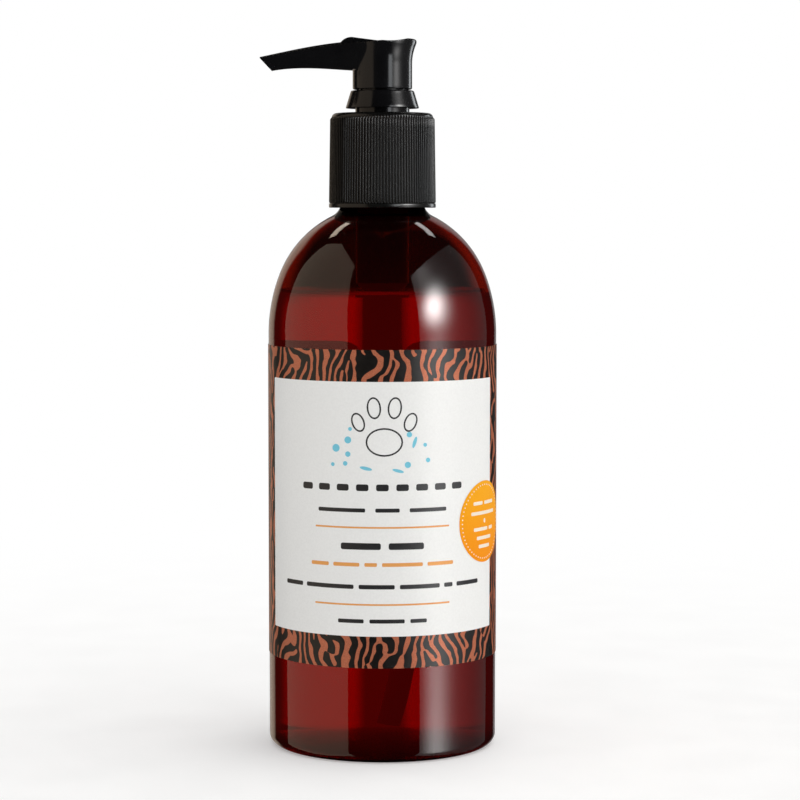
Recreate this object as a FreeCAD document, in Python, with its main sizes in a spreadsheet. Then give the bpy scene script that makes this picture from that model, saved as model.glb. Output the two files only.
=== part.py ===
"""A 300 ml amber pump bottle with a wraparound label, filled with shampoo.

The frame: Z is the bottle's axis, the bottle stands on z = 0, the label's front faces -Y and the
spout points to -X. Sizes are in millimetres. The pump is drawn pressed down, as it is when locked.
"""
import FreeCAD, Part
import math
import os
import re
import Sketcher
from FreeCAD import Placement, Rotation, Vector

# alias, value, meaning. Every other size is worked out from these in the expressions below.
DIMENSIONS = (
    # bottle: the standard 24/410 neck finish fixes the sizes above the shoulder
    ("body_radius", 30.0, "straight wall, outside"),
    ("wall", 0.8, "thickness of the blown wall"),
    ("base_corner", 2.9, "rounding between the wall and the standing ring"),
    ("push_up_radius", 22.0, "edge of the raised dome under the bottle"),
    ("push_up_rise", 3.4, "height of the dome's crown above the standing ring"),
    ("base_thickness", 1.4, "thickness of the dome"),
    ("shoulder_start", 108.9, "top of the straight wall"),
    ("shoulder_low_arc", 43.1, "radius of the shoulder's lower arc"),
    ("shoulder_low_turn", 21.7, "how far the lower arc turns, in degrees"),
    ("shoulder_high_arc", 28.4, "radius of the shoulder's upper arc"),
    ("neck_fillet", 4.5, "rounding between the shoulder and the neck"),
    ("neck_radius", 10.75, "neck, outside, at the thread's root"),
    ("neck_bore", 9.0, "neck, inside"),
    ("neck_top", 158.3, "sealing face of the neck"),
    ("pitch", 3.175, "rise of the neck thread in one turn"),
    ("thread_turns", 1.5, "turns of thread on the neck"),
    ("thread_radius", 11.85, "crest of the neck thread"),
    ("thread_start", 150.6, "height at which the neck thread's middle starts"),
    ("thread_foot", 1.0, "half the height of a thread at its foot"),
    ("thread_flat", 0.45, "half the height of a thread at its crest"),
    ("thread_sink", 0.3, "depth to which a thread's foot is sunk in its wall"),
    ("neck_lip", 0.3, "rounding of the neck's lip"),
    # label, sticker and contents
    ("label_low", 24.8, "lower edge of the label"),
    ("label_high", 106.1, "upper edge of the label"),
    ("label_thickness", 0.12, "label film and glue"),
    ("label_gap", 6.0, "opening between the label's ends, at the back"),
    ("label_corner", 3.0, "rounding of the label's corners"),
    ("sticker_radius", 10.6, "round sticker"),
    ("sticker_height", 60.8, "middle of the sticker"),
    ("sticker_turn", 61.0, "turn from the label's front to the sticker, in degrees"),
    ("sticker_thickness", 0.08, "sticker film and glue"),
    ("fill_level", 119.4, "surface of the shampoo"),
    ("fill_clearance", 0.3, "space left between the shampoo solid and the wall"),
    ("tube_room", 0.85, "space left between the shampoo solid and the dip tube"),
    # closure
    ("closure_low", 141.9, "open end of the closure"),
    ("closure_high", 166.6, "top face of the closure"),
    ("closure_low_radius", 14.05, "closure at the open end, over the ribs"),
    ("closure_high_radius", 13.72, "closure at the top, over the ribs"),
    ("closure_edge", 1.2, "rounding of the closure's top edge"),
    ("closure_panel", 1.6, "thickness of the closure's top"),
    ("closure_bore", 12.1, "inside of the closure round the neck thread"),
    ("closure_hole", 7.35, "hole in the closure's top"),
    ("rib_count", 110, "grip ribs round the closure"),
    ("rib_depth", 0.36, "height of a rib"),
    ("rib_foot", 0.3, "half the width of a rib at its foot"),
    ("rib_crest", 0.14, "half the width of a rib at its crest"),
    ("edge_break", 0.25, "rounding of the closure's lower edge and of its hole"),
    ("plain_band", 1.1, "smooth band under the ribs"),
    # pump body
    ("gasket_thickness", 1.0, "foam seal on the neck"),
    ("flange_radius", 10.9, "housing flange and gasket"),
    ("flange_thickness", 1.6, "housing flange"),
    ("barrel_bore", 6.0, "cylinder in which the piston runs"),
    ("barrel_wall", 0.9, "thickness of the cylinder"),
    ("barrel_floor", 123.0, "bottom of the cylinder, under the spring"),
    ("socket_low", 104.5, "lower end of the dip tube socket"),
    ("socket_radius", 3.85, "dip tube socket, outside"),
    ("socket_depth", 10.0, "length of dip tube held in the socket"),
    ("inlet_radius", 1.2, "hole under the ball"),
    ("chamber_play", 0.5, "space between the ball and its chamber"),
    ("keeper_width", 0.8, "thickness of the four fins over the ball"),
    ("vent_radius", 0.5, "hole that lets air into the bottle"),
    ("vent_drop", 3.0, "from the flange down to the vent hole"),
    ("snap", 0.25, "height of the bead that holds the collar on the housing"),
    ("ball_radius", 2.0, "inlet valve ball"),
    ("ball_lift", 1.2, "rise of the ball off its seat"),
    ("tube_radius", 2.4, "dip tube, outside"),
    ("tube_bore", 1.7, "dip tube, inside"),
    ("tube_end", 6.2, "lower end of the dip tube"),
    ("tube_upper_bend", 60.0, "radius of the tube's bend under the socket"),
    ("tube_lower_bend", 202.0, "radius of the tube's long bow"),
    ("tube_lean", 12.0, "steepest lean of the tube, in degrees"),
    # locking collar
    ("collar_top", 172.5, "top of the locking collar"),
    ("bell_low", 167.9, "underside of the collar's skirt"),
    ("bell_low_radius", 9.62, "collar's skirt at the bottom"),
    ("bell_high_radius", 8.72, "collar's skirt at the top"),
    ("collar_neck", 7.1, "collar where it passes through the closure"),
    ("collar_plate", 9.9, "collar's plate under the closure's top"),
    ("lock_bore", 6.25, "hole that takes the head's plug"),
    ("lock_groove", 7.0, "groove in which the head's lugs turn"),
    ("slot_play", 0.3, "space at each side of a lug in its entry slot"),
    ("collar_top_edge", 0.55, "rounding of the collar's top edge"),
    ("collar_low_edge", 0.15, "rounding of the collar's lower edge"),
    # moving parts of the pump
    ("stroke", 14.0, "travel of the head"),
    ("slip", 1.0, "travel of the piston on the stem"),
    ("stem_radius", 3.5, "stem, outside"),
    ("stem_bore", 2.2, "stem, inside"),
    ("stem_high", 179.0, "top of the stem, inside the head"),
    ("piston_low", 134.5, "bottom of the piston"),
    ("piston_high", 142.4, "top of the piston"),
    ("spring_wire", 0.9, "diameter of the spring's wire"),
    ("spring_radius", 4.5, "mean radius of the spring"),
    ("spring_turns", 7, "turns of the spring"),
    ("running", 0.05, "clearance of each sliding fit"),
    ("flute_width", 1.0, "grooves that let the shampoo past the spindle"),
    # head
    ("head_low", 172.8, "underside of the head"),
    ("head_high", 185.75, "top of the head's rear lip"),
    ("head_radius", 7.8, "head's shaft"),
    ("lip_radius", 9.0, "rear lip of the head"),
    ("lip_edge", 0.7, "rounding of the rear lip"),
    ("flare_start", 179.5, "height where the shaft starts to flare"),
    ("plug_low", 166.9, "lower end of the head's plug"),
    ("plug_radius", 6.1, "head's plug"),
    ("plug_wall", 1.0, "thickness of the plug's wall"),
    ("lug_radius", 6.85, "lugs on the plug"),
    ("lug_width", 5.0, "width of a lug"),
    ("spout_reach", 32.0, "from the axis to the spout's tip"),
    ("spout_bore", 1.6, "radius of the spout's channel"),
    ("channel_height", 180.9, "middle of the channel at the stem"),
    ("thumb_high", 186.0, "top of the raised thumb rest"),
    ("thumb_width", 10.0, "thumb rest, from side to side"),
)
NAMES = {name for name, value, meaning in DIMENSIONS}

doc = FreeCAD.newDocument("PumpBottle")
sheet = doc.addObject("Spreadsheet::Sheet", "Dim")
for row, (name, value, meaning) in enumerate(DIMENSIONS, start=1):
    sheet.set(f"A{row}", name)
    sheet.set(f"B{row}", str(value))
    sheet.set(f"C{row}", meaning)
    sheet.setAlias(f"B{row}", name)
doc.recompute()


# ---------------------------------------------------------------- working with the sheet

def bound(expression):
    """The expression with each sheet name written as the document's expressions need it."""
    def named(word):
        return f"Dim.{word[0]}" if word[0] in NAMES else word[0]
    return re.sub(r"[a-z_]+", named, str(expression))


def value_of(expression):
    return float(sheet.evalExpression(bound(expression)))


def bind(target, **properties):
    """Ties each named property of an object to an expression in the sheet's names."""
    for name, expression in properties.items():
        target.setExpression(name.replace("__", "."), bound(expression))


# ---------------------------------------------------------------- sketches

def plane(body, role):
    return next(feature for feature in body.Origin.OriginFeatures if feature.Role == role)


def new_sketch(body, name, role, offset=None):
    """A sketch on one of the body's own planes, raised along the plane's normal if offset is given."""
    sketch = body.newObject("Sketcher::SketchObject", name)
    sketch.AttachmentSupport = [(plane(body, role), "")]
    sketch.MapMode = "FlatFace"
    if offset is not None:
        sketch.setExpression("AttachmentOffset.Base.z", bound(offset))
    return sketch


def pin_point(sketch, edge, end, across, up):
    """Fixes one end of an edge at (across, up) from the sketch's origin."""
    for kind, axis, expression in (("DistanceX", -2, across), ("DistanceY", -1, up)):
        if str(expression) == "0":
            sketch.addConstraint(Sketcher.Constraint("PointOnObject", edge, end, axis))
            continue
        index = sketch.addConstraint(Sketcher.Constraint(kind, -1, 1, edge, end, value_of(expression)))
        sketch.setExpression(f"Constraints[{index}]", bound(expression))


def arc_between(start, finish, radius):
    """The shorter arc from start to finish. It turns left if the radius is positive, else right."""
    chord = finish - start
    to_centre = Vector(-chord.y, chord.x, 0).normalize() * math.sqrt(radius**2 - chord.Length**2 / 4)
    centre = start + chord * 0.5 + to_centre * math.copysign(1, radius)
    ends = [math.atan2(point.y - centre.y, point.x - centre.x) for point in (start, finish)]
    if radius < 0:
        ends.reverse()
    return Part.ArcOfCircle(Part.Circle(centre, Vector(0, 0, 1), abs(radius)), *ends)


def outline(sketch, corners):
    """Draws a closed outline. A corner is (across, up) or (across, up, radius of the arc that follows).

    An arc's radius is positive where the outline turns left along it, and negative where it turns right.
    """
    points = [Vector(value_of(corner[0]), value_of(corner[1]), 0) for corner in corners]
    ends = []
    for number, corner in enumerate(corners):
        start, finish = points[number], points[(number + 1) % len(points)]
        if len(corner) == 2:
            sketch.addGeometry(Part.LineSegment(start, finish))
            ends.append((1, 2))
            continue
        radius = value_of(corner[2])
        sketch.addGeometry(arc_between(start, finish, radius))
        ends.append((1, 2) if radius > 0 else (2, 1))
        index = sketch.addConstraint(Sketcher.Constraint("Radius", number, abs(radius)))
        sketch.setExpression(f"Constraints[{index}]", bound(f"abs({corner[2]})"))
    for number, corner in enumerate(corners):
        following = (number + 1) % len(corners)
        sketch.addConstraint(
            Sketcher.Constraint("Coincident", number, ends[number][1], following, ends[following][0])
        )
        pin_point(sketch, number, ends[number][0], corner[0], corner[1])
    return sketch


def circle(sketch, across, up, radius):
    number = sketch.addGeometry(
        Part.Circle(Vector(value_of(across), value_of(up), 0), Vector(0, 0, 1), value_of(radius))
    )
    pin_point(sketch, number, 3, across, up)
    index = sketch.addConstraint(Sketcher.Constraint("Radius", number, value_of(radius)))
    sketch.setExpression(f"Constraints[{index}]", bound(radius))
    return sketch


# ---------------------------------------------------------------- features

def new_body(label):
    body = doc.addObject("PartDesign::Body", label)
    body.Label = label
    return body


def turned(body, corners, cut=False):
    """Revolves an outline in (radius, height) about Z, to add material or to cut it away."""
    kind = "Groove" if cut else "Revolution"
    sketch = outline(new_sketch(body, f"{body.Name}_{kind.lower()}_outline", "XZ_Plane"), corners)
    feature = body.newObject(f"PartDesign::{kind}", f"{body.Name}_{kind.lower()}")
    feature.Profile = sketch
    feature.ReferenceAxis = (sketch, ["V_Axis"])
    feature.Angle = 360
    doc.recompute()
    return feature


def extruded(body, sketch, length, cut=False, reversed_way=False, both_ways=False):
    """Pads or pockets a sketch by a length, forwards, backwards or half to each side."""
    feature = body.newObject("PartDesign::Pocket" if cut else "PartDesign::Pad", f"{sketch.Name}_step")
    feature.Profile = sketch
    feature.Type = "Length"
    bind(feature, Length=length)
    feature.Reversed = reversed_way
    if both_ways:
        feature.Midplane = True
    doc.recompute()
    return feature


def repeated(body, feature, count):
    """Repeats a feature round Z and makes the pattern the body's result."""
    pattern = body.newObject("PartDesign::PolarPattern", f"{feature.Name}_ring")
    pattern.Originals = [feature]
    pattern.Axis = (plane(body, "Z_Axis"), [""])
    pattern.Angle = 360
    bind(pattern, Occurrences=count)
    body.Tip = pattern
    doc.recompute()
    return pattern


def ring_edges(feature, radius, height):
    """Names of the circular edges of that radius at that height."""
    names = []
    for number, edge in enumerate(feature.Shape.Edges, start=1):
        if edge.Degenerated or not isinstance(edge.Curve, Part.Circle):
            continue
        off_radius = abs(edge.Curve.Radius - value_of(radius))
        off_height = abs(edge.Curve.Center.z - value_of(height))
        if off_radius < 1e-3 and off_height < 1e-3:
            names.append(f"Edge{number}")
    return names


def rounded(body, feature, places, radius):
    """Fillets the circular edges at each (radius, height)."""
    names = [name for place in places for name in ring_edges(feature, *place)]
    if not names:
        raise ValueError(f"{body.Label}: there is no edge to round at {places}")
    fillet = body.newObject("PartDesign::Fillet", f"{body.Name}_rounding")
    fillet.Base = (feature, names)
    bind(fillet, Radius=radius)
    doc.recompute()
    return fillet


def helical(body, corners, height):
    """Sweeps an outline in (radius, height) up a right-hand helix of the neck thread's pitch."""
    sketch = outline(new_sketch(body, f"{body.Name}_thread_outline", "XZ_Plane"), corners)
    thread = body.newObject("PartDesign::AdditiveHelix", f"{body.Name}_thread")
    thread.Profile = sketch
    thread.ReferenceAxis = (sketch, ["V_Axis"])
    thread.Mode = "pitch-height-angle"
    bind(thread, Pitch="pitch", Height=height)
    doc.recompute()
    return thread


# ---------------------------------------------------------------- bottle and what it wears

SHOULDER_X = "(body_radius - shoulder_low_arc * (1 - cos(shoulder_low_turn)))"
SHOULDER_Z = "(shoulder_start + shoulder_low_arc * sin(shoulder_low_turn))"
HIGH_ARC_X = f"({SHOULDER_X} - shoulder_high_arc * cos(shoulder_low_turn))"
HIGH_ARC_Z = f"({SHOULDER_Z} - shoulder_high_arc * sin(shoulder_low_turn))"
INNER_TURN_X = f"({SHOULDER_X} - wall * cos(shoulder_low_turn))"
INNER_TURN_Z = f"({SHOULDER_Z} - wall * sin(shoulder_low_turn))"


def shoulder_height(radius, inset="0"):
    """Height of the shoulder's upper arc, moved in by inset, at a distance from the axis."""
    return f"({HIGH_ARC_Z} + sqrt((shoulder_high_arc - {inset})^2 - ({radius} - {HIGH_ARC_X})^2))"


def dome_radius(edge, rise):
    """Radius of a spherical cap from the radius of its edge and its rise."""
    return f"((({edge})^2 + ({rise})^2) / (2 * ({rise})))"


def make_bottle():
    body = new_body("bottle")
    standing = "(body_radius - base_corner)"
    outer = turned(body, (
        ("0", "push_up_rise", f"-{dome_radius('push_up_radius', 'push_up_rise')}"),
        ("push_up_radius", "0"),
        (standing, "0", "base_corner"),
        ("body_radius", "base_corner"),
        ("body_radius", "shoulder_start", "shoulder_low_arc"),
        (SHOULDER_X, SHOULDER_Z, "shoulder_high_arc"),
        ("neck_radius", shoulder_height("neck_radius")),
        ("neck_radius", "neck_top"),
        ("0", "neck_top"),
    ))
    rounded(body, outer, [("neck_radius", shoulder_height("neck_radius"))], "neck_fillet")
    cavity_edge = "(push_up_radius + 0.6 * base_thickness)"
    cavity = turned(body, (
        ("0", "push_up_rise + base_thickness",
         f"-{dome_radius(cavity_edge, 'push_up_rise + 0.2 * base_thickness')}"),
        (cavity_edge, "0.8 * base_thickness"),
        ("body_radius - base_corner", "0.8 * base_thickness", "base_corner - wall"),
        ("body_radius - wall", "0.8 * base_thickness + base_corner - wall"),
        ("body_radius - wall", "shoulder_start", "shoulder_low_arc - wall"),
        (INNER_TURN_X, INNER_TURN_Z, "shoulder_high_arc - wall"),
        ("neck_bore", shoulder_height("neck_bore", "wall")),
        ("neck_bore", "neck_top + 1"),
        ("0", "neck_top + 1"),
    ), cut=True)
    inner = rounded(body, cavity, [("neck_bore", shoulder_height("neck_bore", "wall"))], "neck_fillet")
    rounded(body, inner, [("neck_radius", "neck_top"), ("neck_bore", "neck_top")], "neck_lip")
    helical(body, (
        ("neck_radius - thread_sink", "thread_start - thread_foot"),
        ("thread_radius", "thread_start - thread_flat"),
        ("thread_radius", "thread_start + thread_flat"),
        ("neck_radius - thread_sink", "thread_start + thread_foot"),
    ), "pitch * thread_turns")
    return body


def make_label():
    body = new_body("wrap_label")
    ring = new_sketch(body, "label_ring", "XY_Plane", "label_low")
    circle(ring, "0", "0", "body_radius + running / 2")
    circle(ring, "0", "0", "body_radius + running / 2 + label_thickness")
    extruded(body, ring, "label_high - label_low")
    half, flare = "(label_gap / 2)", "(label_gap / 2 + label_corner)"
    opening = outline(new_sketch(body, "label_opening", "XZ_Plane"), (
        (f"-{flare}", "label_low", "label_corner"),
        (f"-{half}", "label_low + label_corner"),
        (f"-{half}", "label_high - label_corner", "label_corner"),
        (f"-{flare}", "label_high"),
        (flare, "label_high", "label_corner"),
        (half, "label_high - label_corner"),
        (half, "label_low + label_corner", "label_corner"),
        (flare, "label_low"),
    ))
    extruded(body, opening, "body_radius * 2", cut=True)
    return body


def cylinder(name, radius, height):
    solid = doc.addObject("Part::Cylinder", name)
    bind(solid, Radius=radius, Height=height)
    return solid


def make_sticker():
    """A disc cut out of a thin tube that lies on the label."""
    inner = "(body_radius + label_thickness + running)"
    tube = doc.addObject("Part::Cut", "sticker_tube")
    tube.Base = cylinder("sticker_outside", f"{inner} + sticker_thickness", "label_high")
    tube.Tool = cylinder("sticker_inside", inner, "label_high")
    punch = cylinder("sticker_punch", "sticker_radius", "body_radius * 2")
    turn = value_of("sticker_turn")
    punch.Placement = Placement(Vector(0, 0, value_of("sticker_height")),
                                Rotation(Vector(0, 0, 1), turn) * Rotation(Vector(1, 0, 0), 90))
    bind(punch, Placement__Base__z="sticker_height")
    sticker = doc.addObject("Part::Common", "round_sticker")
    sticker.Label = "round_sticker"
    sticker.Base = tube
    sticker.Tool = punch
    doc.recompute()
    return sticker


# ---------------------------------------------------------------- closure and gasket

def make_closure():
    body = new_body("closure")
    panel_low = "(closure_high - closure_panel)"
    upper_bore = "(flange_radius + 0.3)"
    step = "(neck_top + gasket_thickness + 0.8)"
    root_low = "(closure_low_radius - rib_depth)"
    root_high = "(closure_high_radius - rib_depth)"
    shell = turned(body, (
        ("closure_bore", "closure_low"),
        ("closure_low_radius", "closure_low"),
        ("closure_low_radius", "closure_low + plain_band"),
        (root_low, "closure_low + plain_band + rib_depth / 2"),
        (root_high, "closure_high - closure_edge"),
        ("closure_high_radius", "closure_high - closure_edge"),
        ("closure_high_radius", "closure_high"),
        ("closure_hole", "closure_high"),
        ("closure_hole", panel_low),
        (upper_bore, panel_low),
        (upper_bore, step),
        ("closure_bore", step),
    ))
    edge = rounded(body, shell, [("closure_high_radius", "closure_high")], "closure_edge * 0.95")
    other_edges = [("closure_low_radius", "closure_low"), ("closure_hole", "closure_high")]
    rounded(body, edge, other_edges, "edge_break")
    thread = "(thread_start - pitch / 2 - 2 * running)"
    foot, flat = "(thread_foot - 5 * running)", "(thread_flat - 2 * running)"
    helical(body, (
        ("closure_bore + thread_sink", f"{thread} - {foot}"),
        ("closure_bore + thread_sink", f"{thread} + {foot}"),
        ("neck_radius + thread_sink", f"{thread} + {flat}"),
        ("neck_radius + thread_sink", f"{thread} - {flat}"),
    ), "pitch * 1.25")
    rib = body.newObject("PartDesign::AdditiveLoft", "grip_rib")
    sections = []
    for name, height, outside in (
        ("rib_foot", "closure_low + plain_band / 2", "closure_low_radius"),
        ("rib_head", "closure_high - closure_edge / 2", "closure_high_radius"),
    ):
        sections.append(outline(new_sketch(body, name, "XY_Plane", height), (
            (f"{outside} - 2 * rib_depth", "-rib_foot"),
            (outside, "-rib_crest"),
            (outside, "rib_crest"),
            (f"{outside} - 2 * rib_depth", "rib_foot"),
        )))
    rib.Profile = sections[0]
    rib.Sections = sections[1:]
    doc.recompute()
    repeated(body, rib, "rib_count")
    return body


def make_gasket():
    body = new_body("gasket")
    turned(body, (
        ("barrel_bore + barrel_wall + 0.2", "neck_top + running"),
        ("flange_radius", "neck_top + running"),
        ("flange_radius", "neck_top + gasket_thickness"),
        ("barrel_bore + barrel_wall + 0.2", "neck_top + gasket_thickness"),
    ))
    return body


# ---------------------------------------------------------------- pump body

FLANGE_LOW = "(neck_top + gasket_thickness + running)"
FLANGE_HIGH = f"({FLANGE_LOW} + flange_thickness)"
RING_HIGH = "(closure_high - closure_panel - 1.2)"
RING_RADIUS = "(collar_plate - 1.3)"
SEAT_LOW = "(socket_low + socket_depth + 2.5)"
BALL_HEIGHT = f"({SEAT_LOW} + ball_radius * sqrt(2) - inlet_radius + 0.02)"
CHAMBER = "(ball_radius + chamber_play)"


def make_housing():
    """Barrel, ball chamber and tube socket, with a flange on the neck and a ring for the collar."""
    body = new_body("housing")
    barrel = "(barrel_bore + barrel_wall)"
    bead_low = f"({FLANGE_HIGH} + 0.6)"
    turned(body, (
        ("tube_radius + running", "socket_low"),
        ("socket_radius", "socket_low"),
        ("socket_radius", "barrel_floor - 4.2"),
        (barrel, "barrel_floor - 0.8"),
        (barrel, FLANGE_LOW),
        ("flange_radius", FLANGE_LOW),
        ("flange_radius", FLANGE_HIGH),
        (RING_RADIUS, FLANGE_HIGH),
        (RING_RADIUS, bead_low),
        (f"{RING_RADIUS} + snap", f"{bead_low} + 0.3"),
        (RING_RADIUS, f"{bead_low} + 0.7"),
        (RING_RADIUS, RING_HIGH),
        (f"{RING_RADIUS} - 1.3", RING_HIGH),
        (f"{RING_RADIUS} - 1.3", FLANGE_HIGH),
        ("barrel_bore", f"{FLANGE_LOW} + 0.6"),
        ("barrel_bore", "barrel_floor"),
        (CHAMBER, "barrel_floor - 0.5"),
        (CHAMBER, f"{SEAT_LOW} + {CHAMBER} - inlet_radius"),
        ("inlet_radius", SEAT_LOW),
        ("inlet_radius", "socket_low + socket_depth"),
        ("tube_radius + running", "socket_low + socket_depth"),
    ))
    keeper_low = f"({BALL_HEIGHT} + ball_radius + ball_lift + 0.1)"
    keeper = outline(new_sketch(body, "ball_keeper", "XZ_Plane"), (
        ("ball_radius - 0.5", keeper_low),
        (f"{CHAMBER} + 0.4", keeper_low),
        (f"{CHAMBER} + 0.4", "barrel_floor - 0.6"),
        ("ball_radius - 0.3", "barrel_floor - 0.6"),
    ))
    repeated(body, extruded(body, keeper, "keeper_width", both_ways=True), "4")
    vent = circle(new_sketch(body, "vent_hole", "XZ_Plane"), "0", f"{FLANGE_LOW} - vent_drop", "vent_radius")
    extruded(body, vent, f"{barrel} + 1", cut=True)
    return body


def make_collar():
    """The locking collar: its skirt is seen above the closure, and its ring snaps on to the housing."""
    body = new_body("locking_collar")
    ring_bore = f"({RING_RADIUS} + 0.15)"
    bead_low = f"({FLANGE_HIGH} + 0.6)"
    plate_low = f"({RING_HIGH} + 0.1)"
    plate_high = "(closure_high - closure_panel - 0.1)"
    floor_high = "(plug_low - 0.3)"
    floor_low = "(plug_low - 1.5)"
    groove_low, groove_high = "(plug_low + 1.4)", "(collar_top - 2.0)"
    skirt = turned(body, (
        ("stem_radius + running", "neck_top + 0.7"),
        ("stem_radius + 1.2", "neck_top + 0.7"),
        ("stem_radius + 1.2", floor_low),
        ("lock_bore - 0.2", floor_low),
        ("lock_bore - 0.2", plate_low),
        (ring_bore, plate_low),
        (ring_bore, f"{bead_low} + 0.8"),
        (f"{ring_bore} + snap", f"{bead_low} + 0.4"),
        (ring_bore, f"{bead_low} - 0.1"),
        (ring_bore, f"{FLANGE_HIGH} + 0.1"),
        ("collar_plate", f"{FLANGE_HIGH} + 0.1"),
        ("collar_plate", plate_high),
        ("collar_neck", plate_high),
        ("collar_neck", "bell_low"),
        ("bell_low_radius", "bell_low"),
        ("bell_high_radius", "collar_top"),
        ("lock_bore", "collar_top"),
        ("lock_bore", groove_high),
        ("lock_groove", groove_high),
        ("lock_groove", groove_low),
        ("lock_bore", groove_low),
        ("lock_bore", floor_high),
        ("stem_radius + running", floor_high),
    ))
    top = rounded(body, skirt, [("bell_high_radius", "collar_top")], "collar_top_edge")
    rounded(body, top, [("bell_low_radius", "bell_low")], "collar_low_edge")
    slots = outline(new_sketch(body, "lug_slots", "XY_Plane", "collar_top + 1"), (
        ("-lug_width / 2 - slot_play", "-lock_groove"),
        ("lug_width / 2 + slot_play", "-lock_groove"),
        ("lug_width / 2 + slot_play", "lock_groove"),
        ("-lug_width / 2 - slot_play", "lock_groove"),
    ))
    extruded(body, slots, f"collar_top + 1 - {groove_low}", cut=True)
    return body


def make_ball():
    ball = doc.addObject("Part::Sphere", "valve_ball")
    ball.Label = "valve_ball"
    bind(ball, Radius="ball_radius", Placement__Base__z=BALL_HEIGHT)
    return ball


BEND_X = "(tube_upper_bend * (1 - cos(tube_lean)))"
BEND_Z = "(socket_low - 1 - tube_upper_bend * sin(tube_lean))"
BOW_X = f"({BEND_X} - tube_lower_bend * cos(tube_lean))"
BOW_Z = f"({BEND_Z} - tube_lower_bend * sin(tube_lean))"


def tube_path(body, name, top, bottom, rise):
    """The dip tube's middle line in the XZ plane, as a chain that starts straight and bows to +X."""
    sketch = new_sketch(body, name, "XZ_Plane")
    start, straight = Vector(0, value_of(top)), Vector(0, value_of(f"socket_low - 1 + {rise}"))
    bend = Vector(value_of(BEND_X), value_of(f"{BEND_Z} + {rise}"))
    end_x = f"({BOW_X} + sqrt(tube_lower_bend^2 - ({bottom} - {rise} - {BOW_Z})^2))"
    finish = Vector(value_of(end_x), value_of(bottom))
    sketch.addGeometry(Part.LineSegment(start, straight))
    sketch.addGeometry(arc_between(straight, bend, value_of("tube_upper_bend")))
    sketch.addGeometry(arc_between(bend, finish, -value_of("tube_lower_bend")))
    sketch.addConstraint(Sketcher.Constraint("Coincident", 0, 2, 1, 1))
    sketch.addConstraint(Sketcher.Constraint("Coincident", 1, 2, 2, 2))
    pin_point(sketch, 0, 1, "0", top)
    pin_point(sketch, 0, 2, "0", f"socket_low - 1 + {rise}")
    pin_point(sketch, 1, 2, BEND_X, f"{BEND_Z} + {rise}")
    pin_point(sketch, 2, 1, end_x, bottom)
    for number, radius in ((1, "tube_upper_bend"), (2, "tube_lower_bend")):
        index = sketch.addConstraint(Sketcher.Constraint("Radius", number, value_of(radius)))
        sketch.setExpression(f"Constraints[{index}]", bound(radius))
    return sketch


def swept(body, profile, path, cut=False):
    feature = body.newObject("PartDesign::SubtractivePipe" if cut else "PartDesign::AdditivePipe",
                             f"{path.Name}_sweep")
    feature.Profile = profile
    feature.Spine = (path, ["Edge1", "Edge2", "Edge3"])
    doc.recompute()
    return feature


def make_dip_tube():
    body = new_body("dip_tube")
    top = "(socket_low + socket_depth - 0.1)"
    section = new_sketch(body, "tube_section", "XY_Plane", top)
    circle(section, "0", "0", "tube_radius")
    circle(section, "0", "0", "tube_bore")
    swept(body, section, tube_path(body, "tube_line", top, "tube_end", "0"))
    return body


def make_shampoo():
    """The contents, with a channel that the dip tube can rise through as the closure unscrews."""
    body = new_body("shampoo")
    gap = "(wall + fill_clearance)"
    floor_edge = "(push_up_radius + 0.6 * base_thickness)"
    floor = "(0.8 * base_thickness + fill_clearance)"
    corner = "(base_corner - wall - fill_clearance)"
    across = f"sqrt((shoulder_low_arc - {gap})^2 - (fill_level - shoulder_start)^2)"
    level_x = f"(body_radius - shoulder_low_arc + {across})"
    turned(body, (
        ("0", "push_up_rise + base_thickness + fill_clearance",
         f"-{dome_radius(floor_edge, 'push_up_rise + 0.2 * base_thickness')}"),
        (floor_edge, floor),
        ("body_radius - base_corner", floor, corner),
        (f"body_radius - {gap}", f"{floor} + {corner}"),
        (f"body_radius - {gap}", "shoulder_start", f"shoulder_low_arc - {gap}"),
        (level_x, "fill_level"),
        ("0", "fill_level"),
    ))
    rise = "(pitch * thread_turns)"
    turned(body, (
        ("0", "socket_low - 2"),
        ("socket_radius + 2", "socket_low - 2"),
        ("socket_radius + 2", "fill_level + 1"),
        ("0", "fill_level + 1"),
    ), cut=True)
    section = new_sketch(body, "channel_section", "XY_Plane", "socket_low + 4")
    circle(section, "0", "0", "tube_radius + tube_room")
    path = tube_path(body, "channel_line", "(socket_low + 4)", "(tube_end - 0.5)", f"({rise} / 2)")
    swept(body, section, path, cut=True)
    return body


# ---------------------------------------------------------------- moving parts of the pump

def make_stem():
    """The hollow stem: pressed into the head above, with a shoulder over the piston below."""
    body = new_body("stem")
    turned(body, (
        ("stem_bore", "piston_high - 3.4"),
        ("stem_radius", "piston_high - 3.4"),
        ("stem_radius", "piston_high + 0.1"),
        ("stem_radius + 0.8", "piston_high + 0.1"),
        ("stem_radius + 0.8", "piston_high + 1.1"),
        ("stem_radius", "piston_high + 1.9"),
        ("stem_radius", "stem_high - 0.4"),
        ("stem_radius - 0.4", "stem_high"),
        ("stem_bore", "stem_high"),
    ))
    return body


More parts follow.
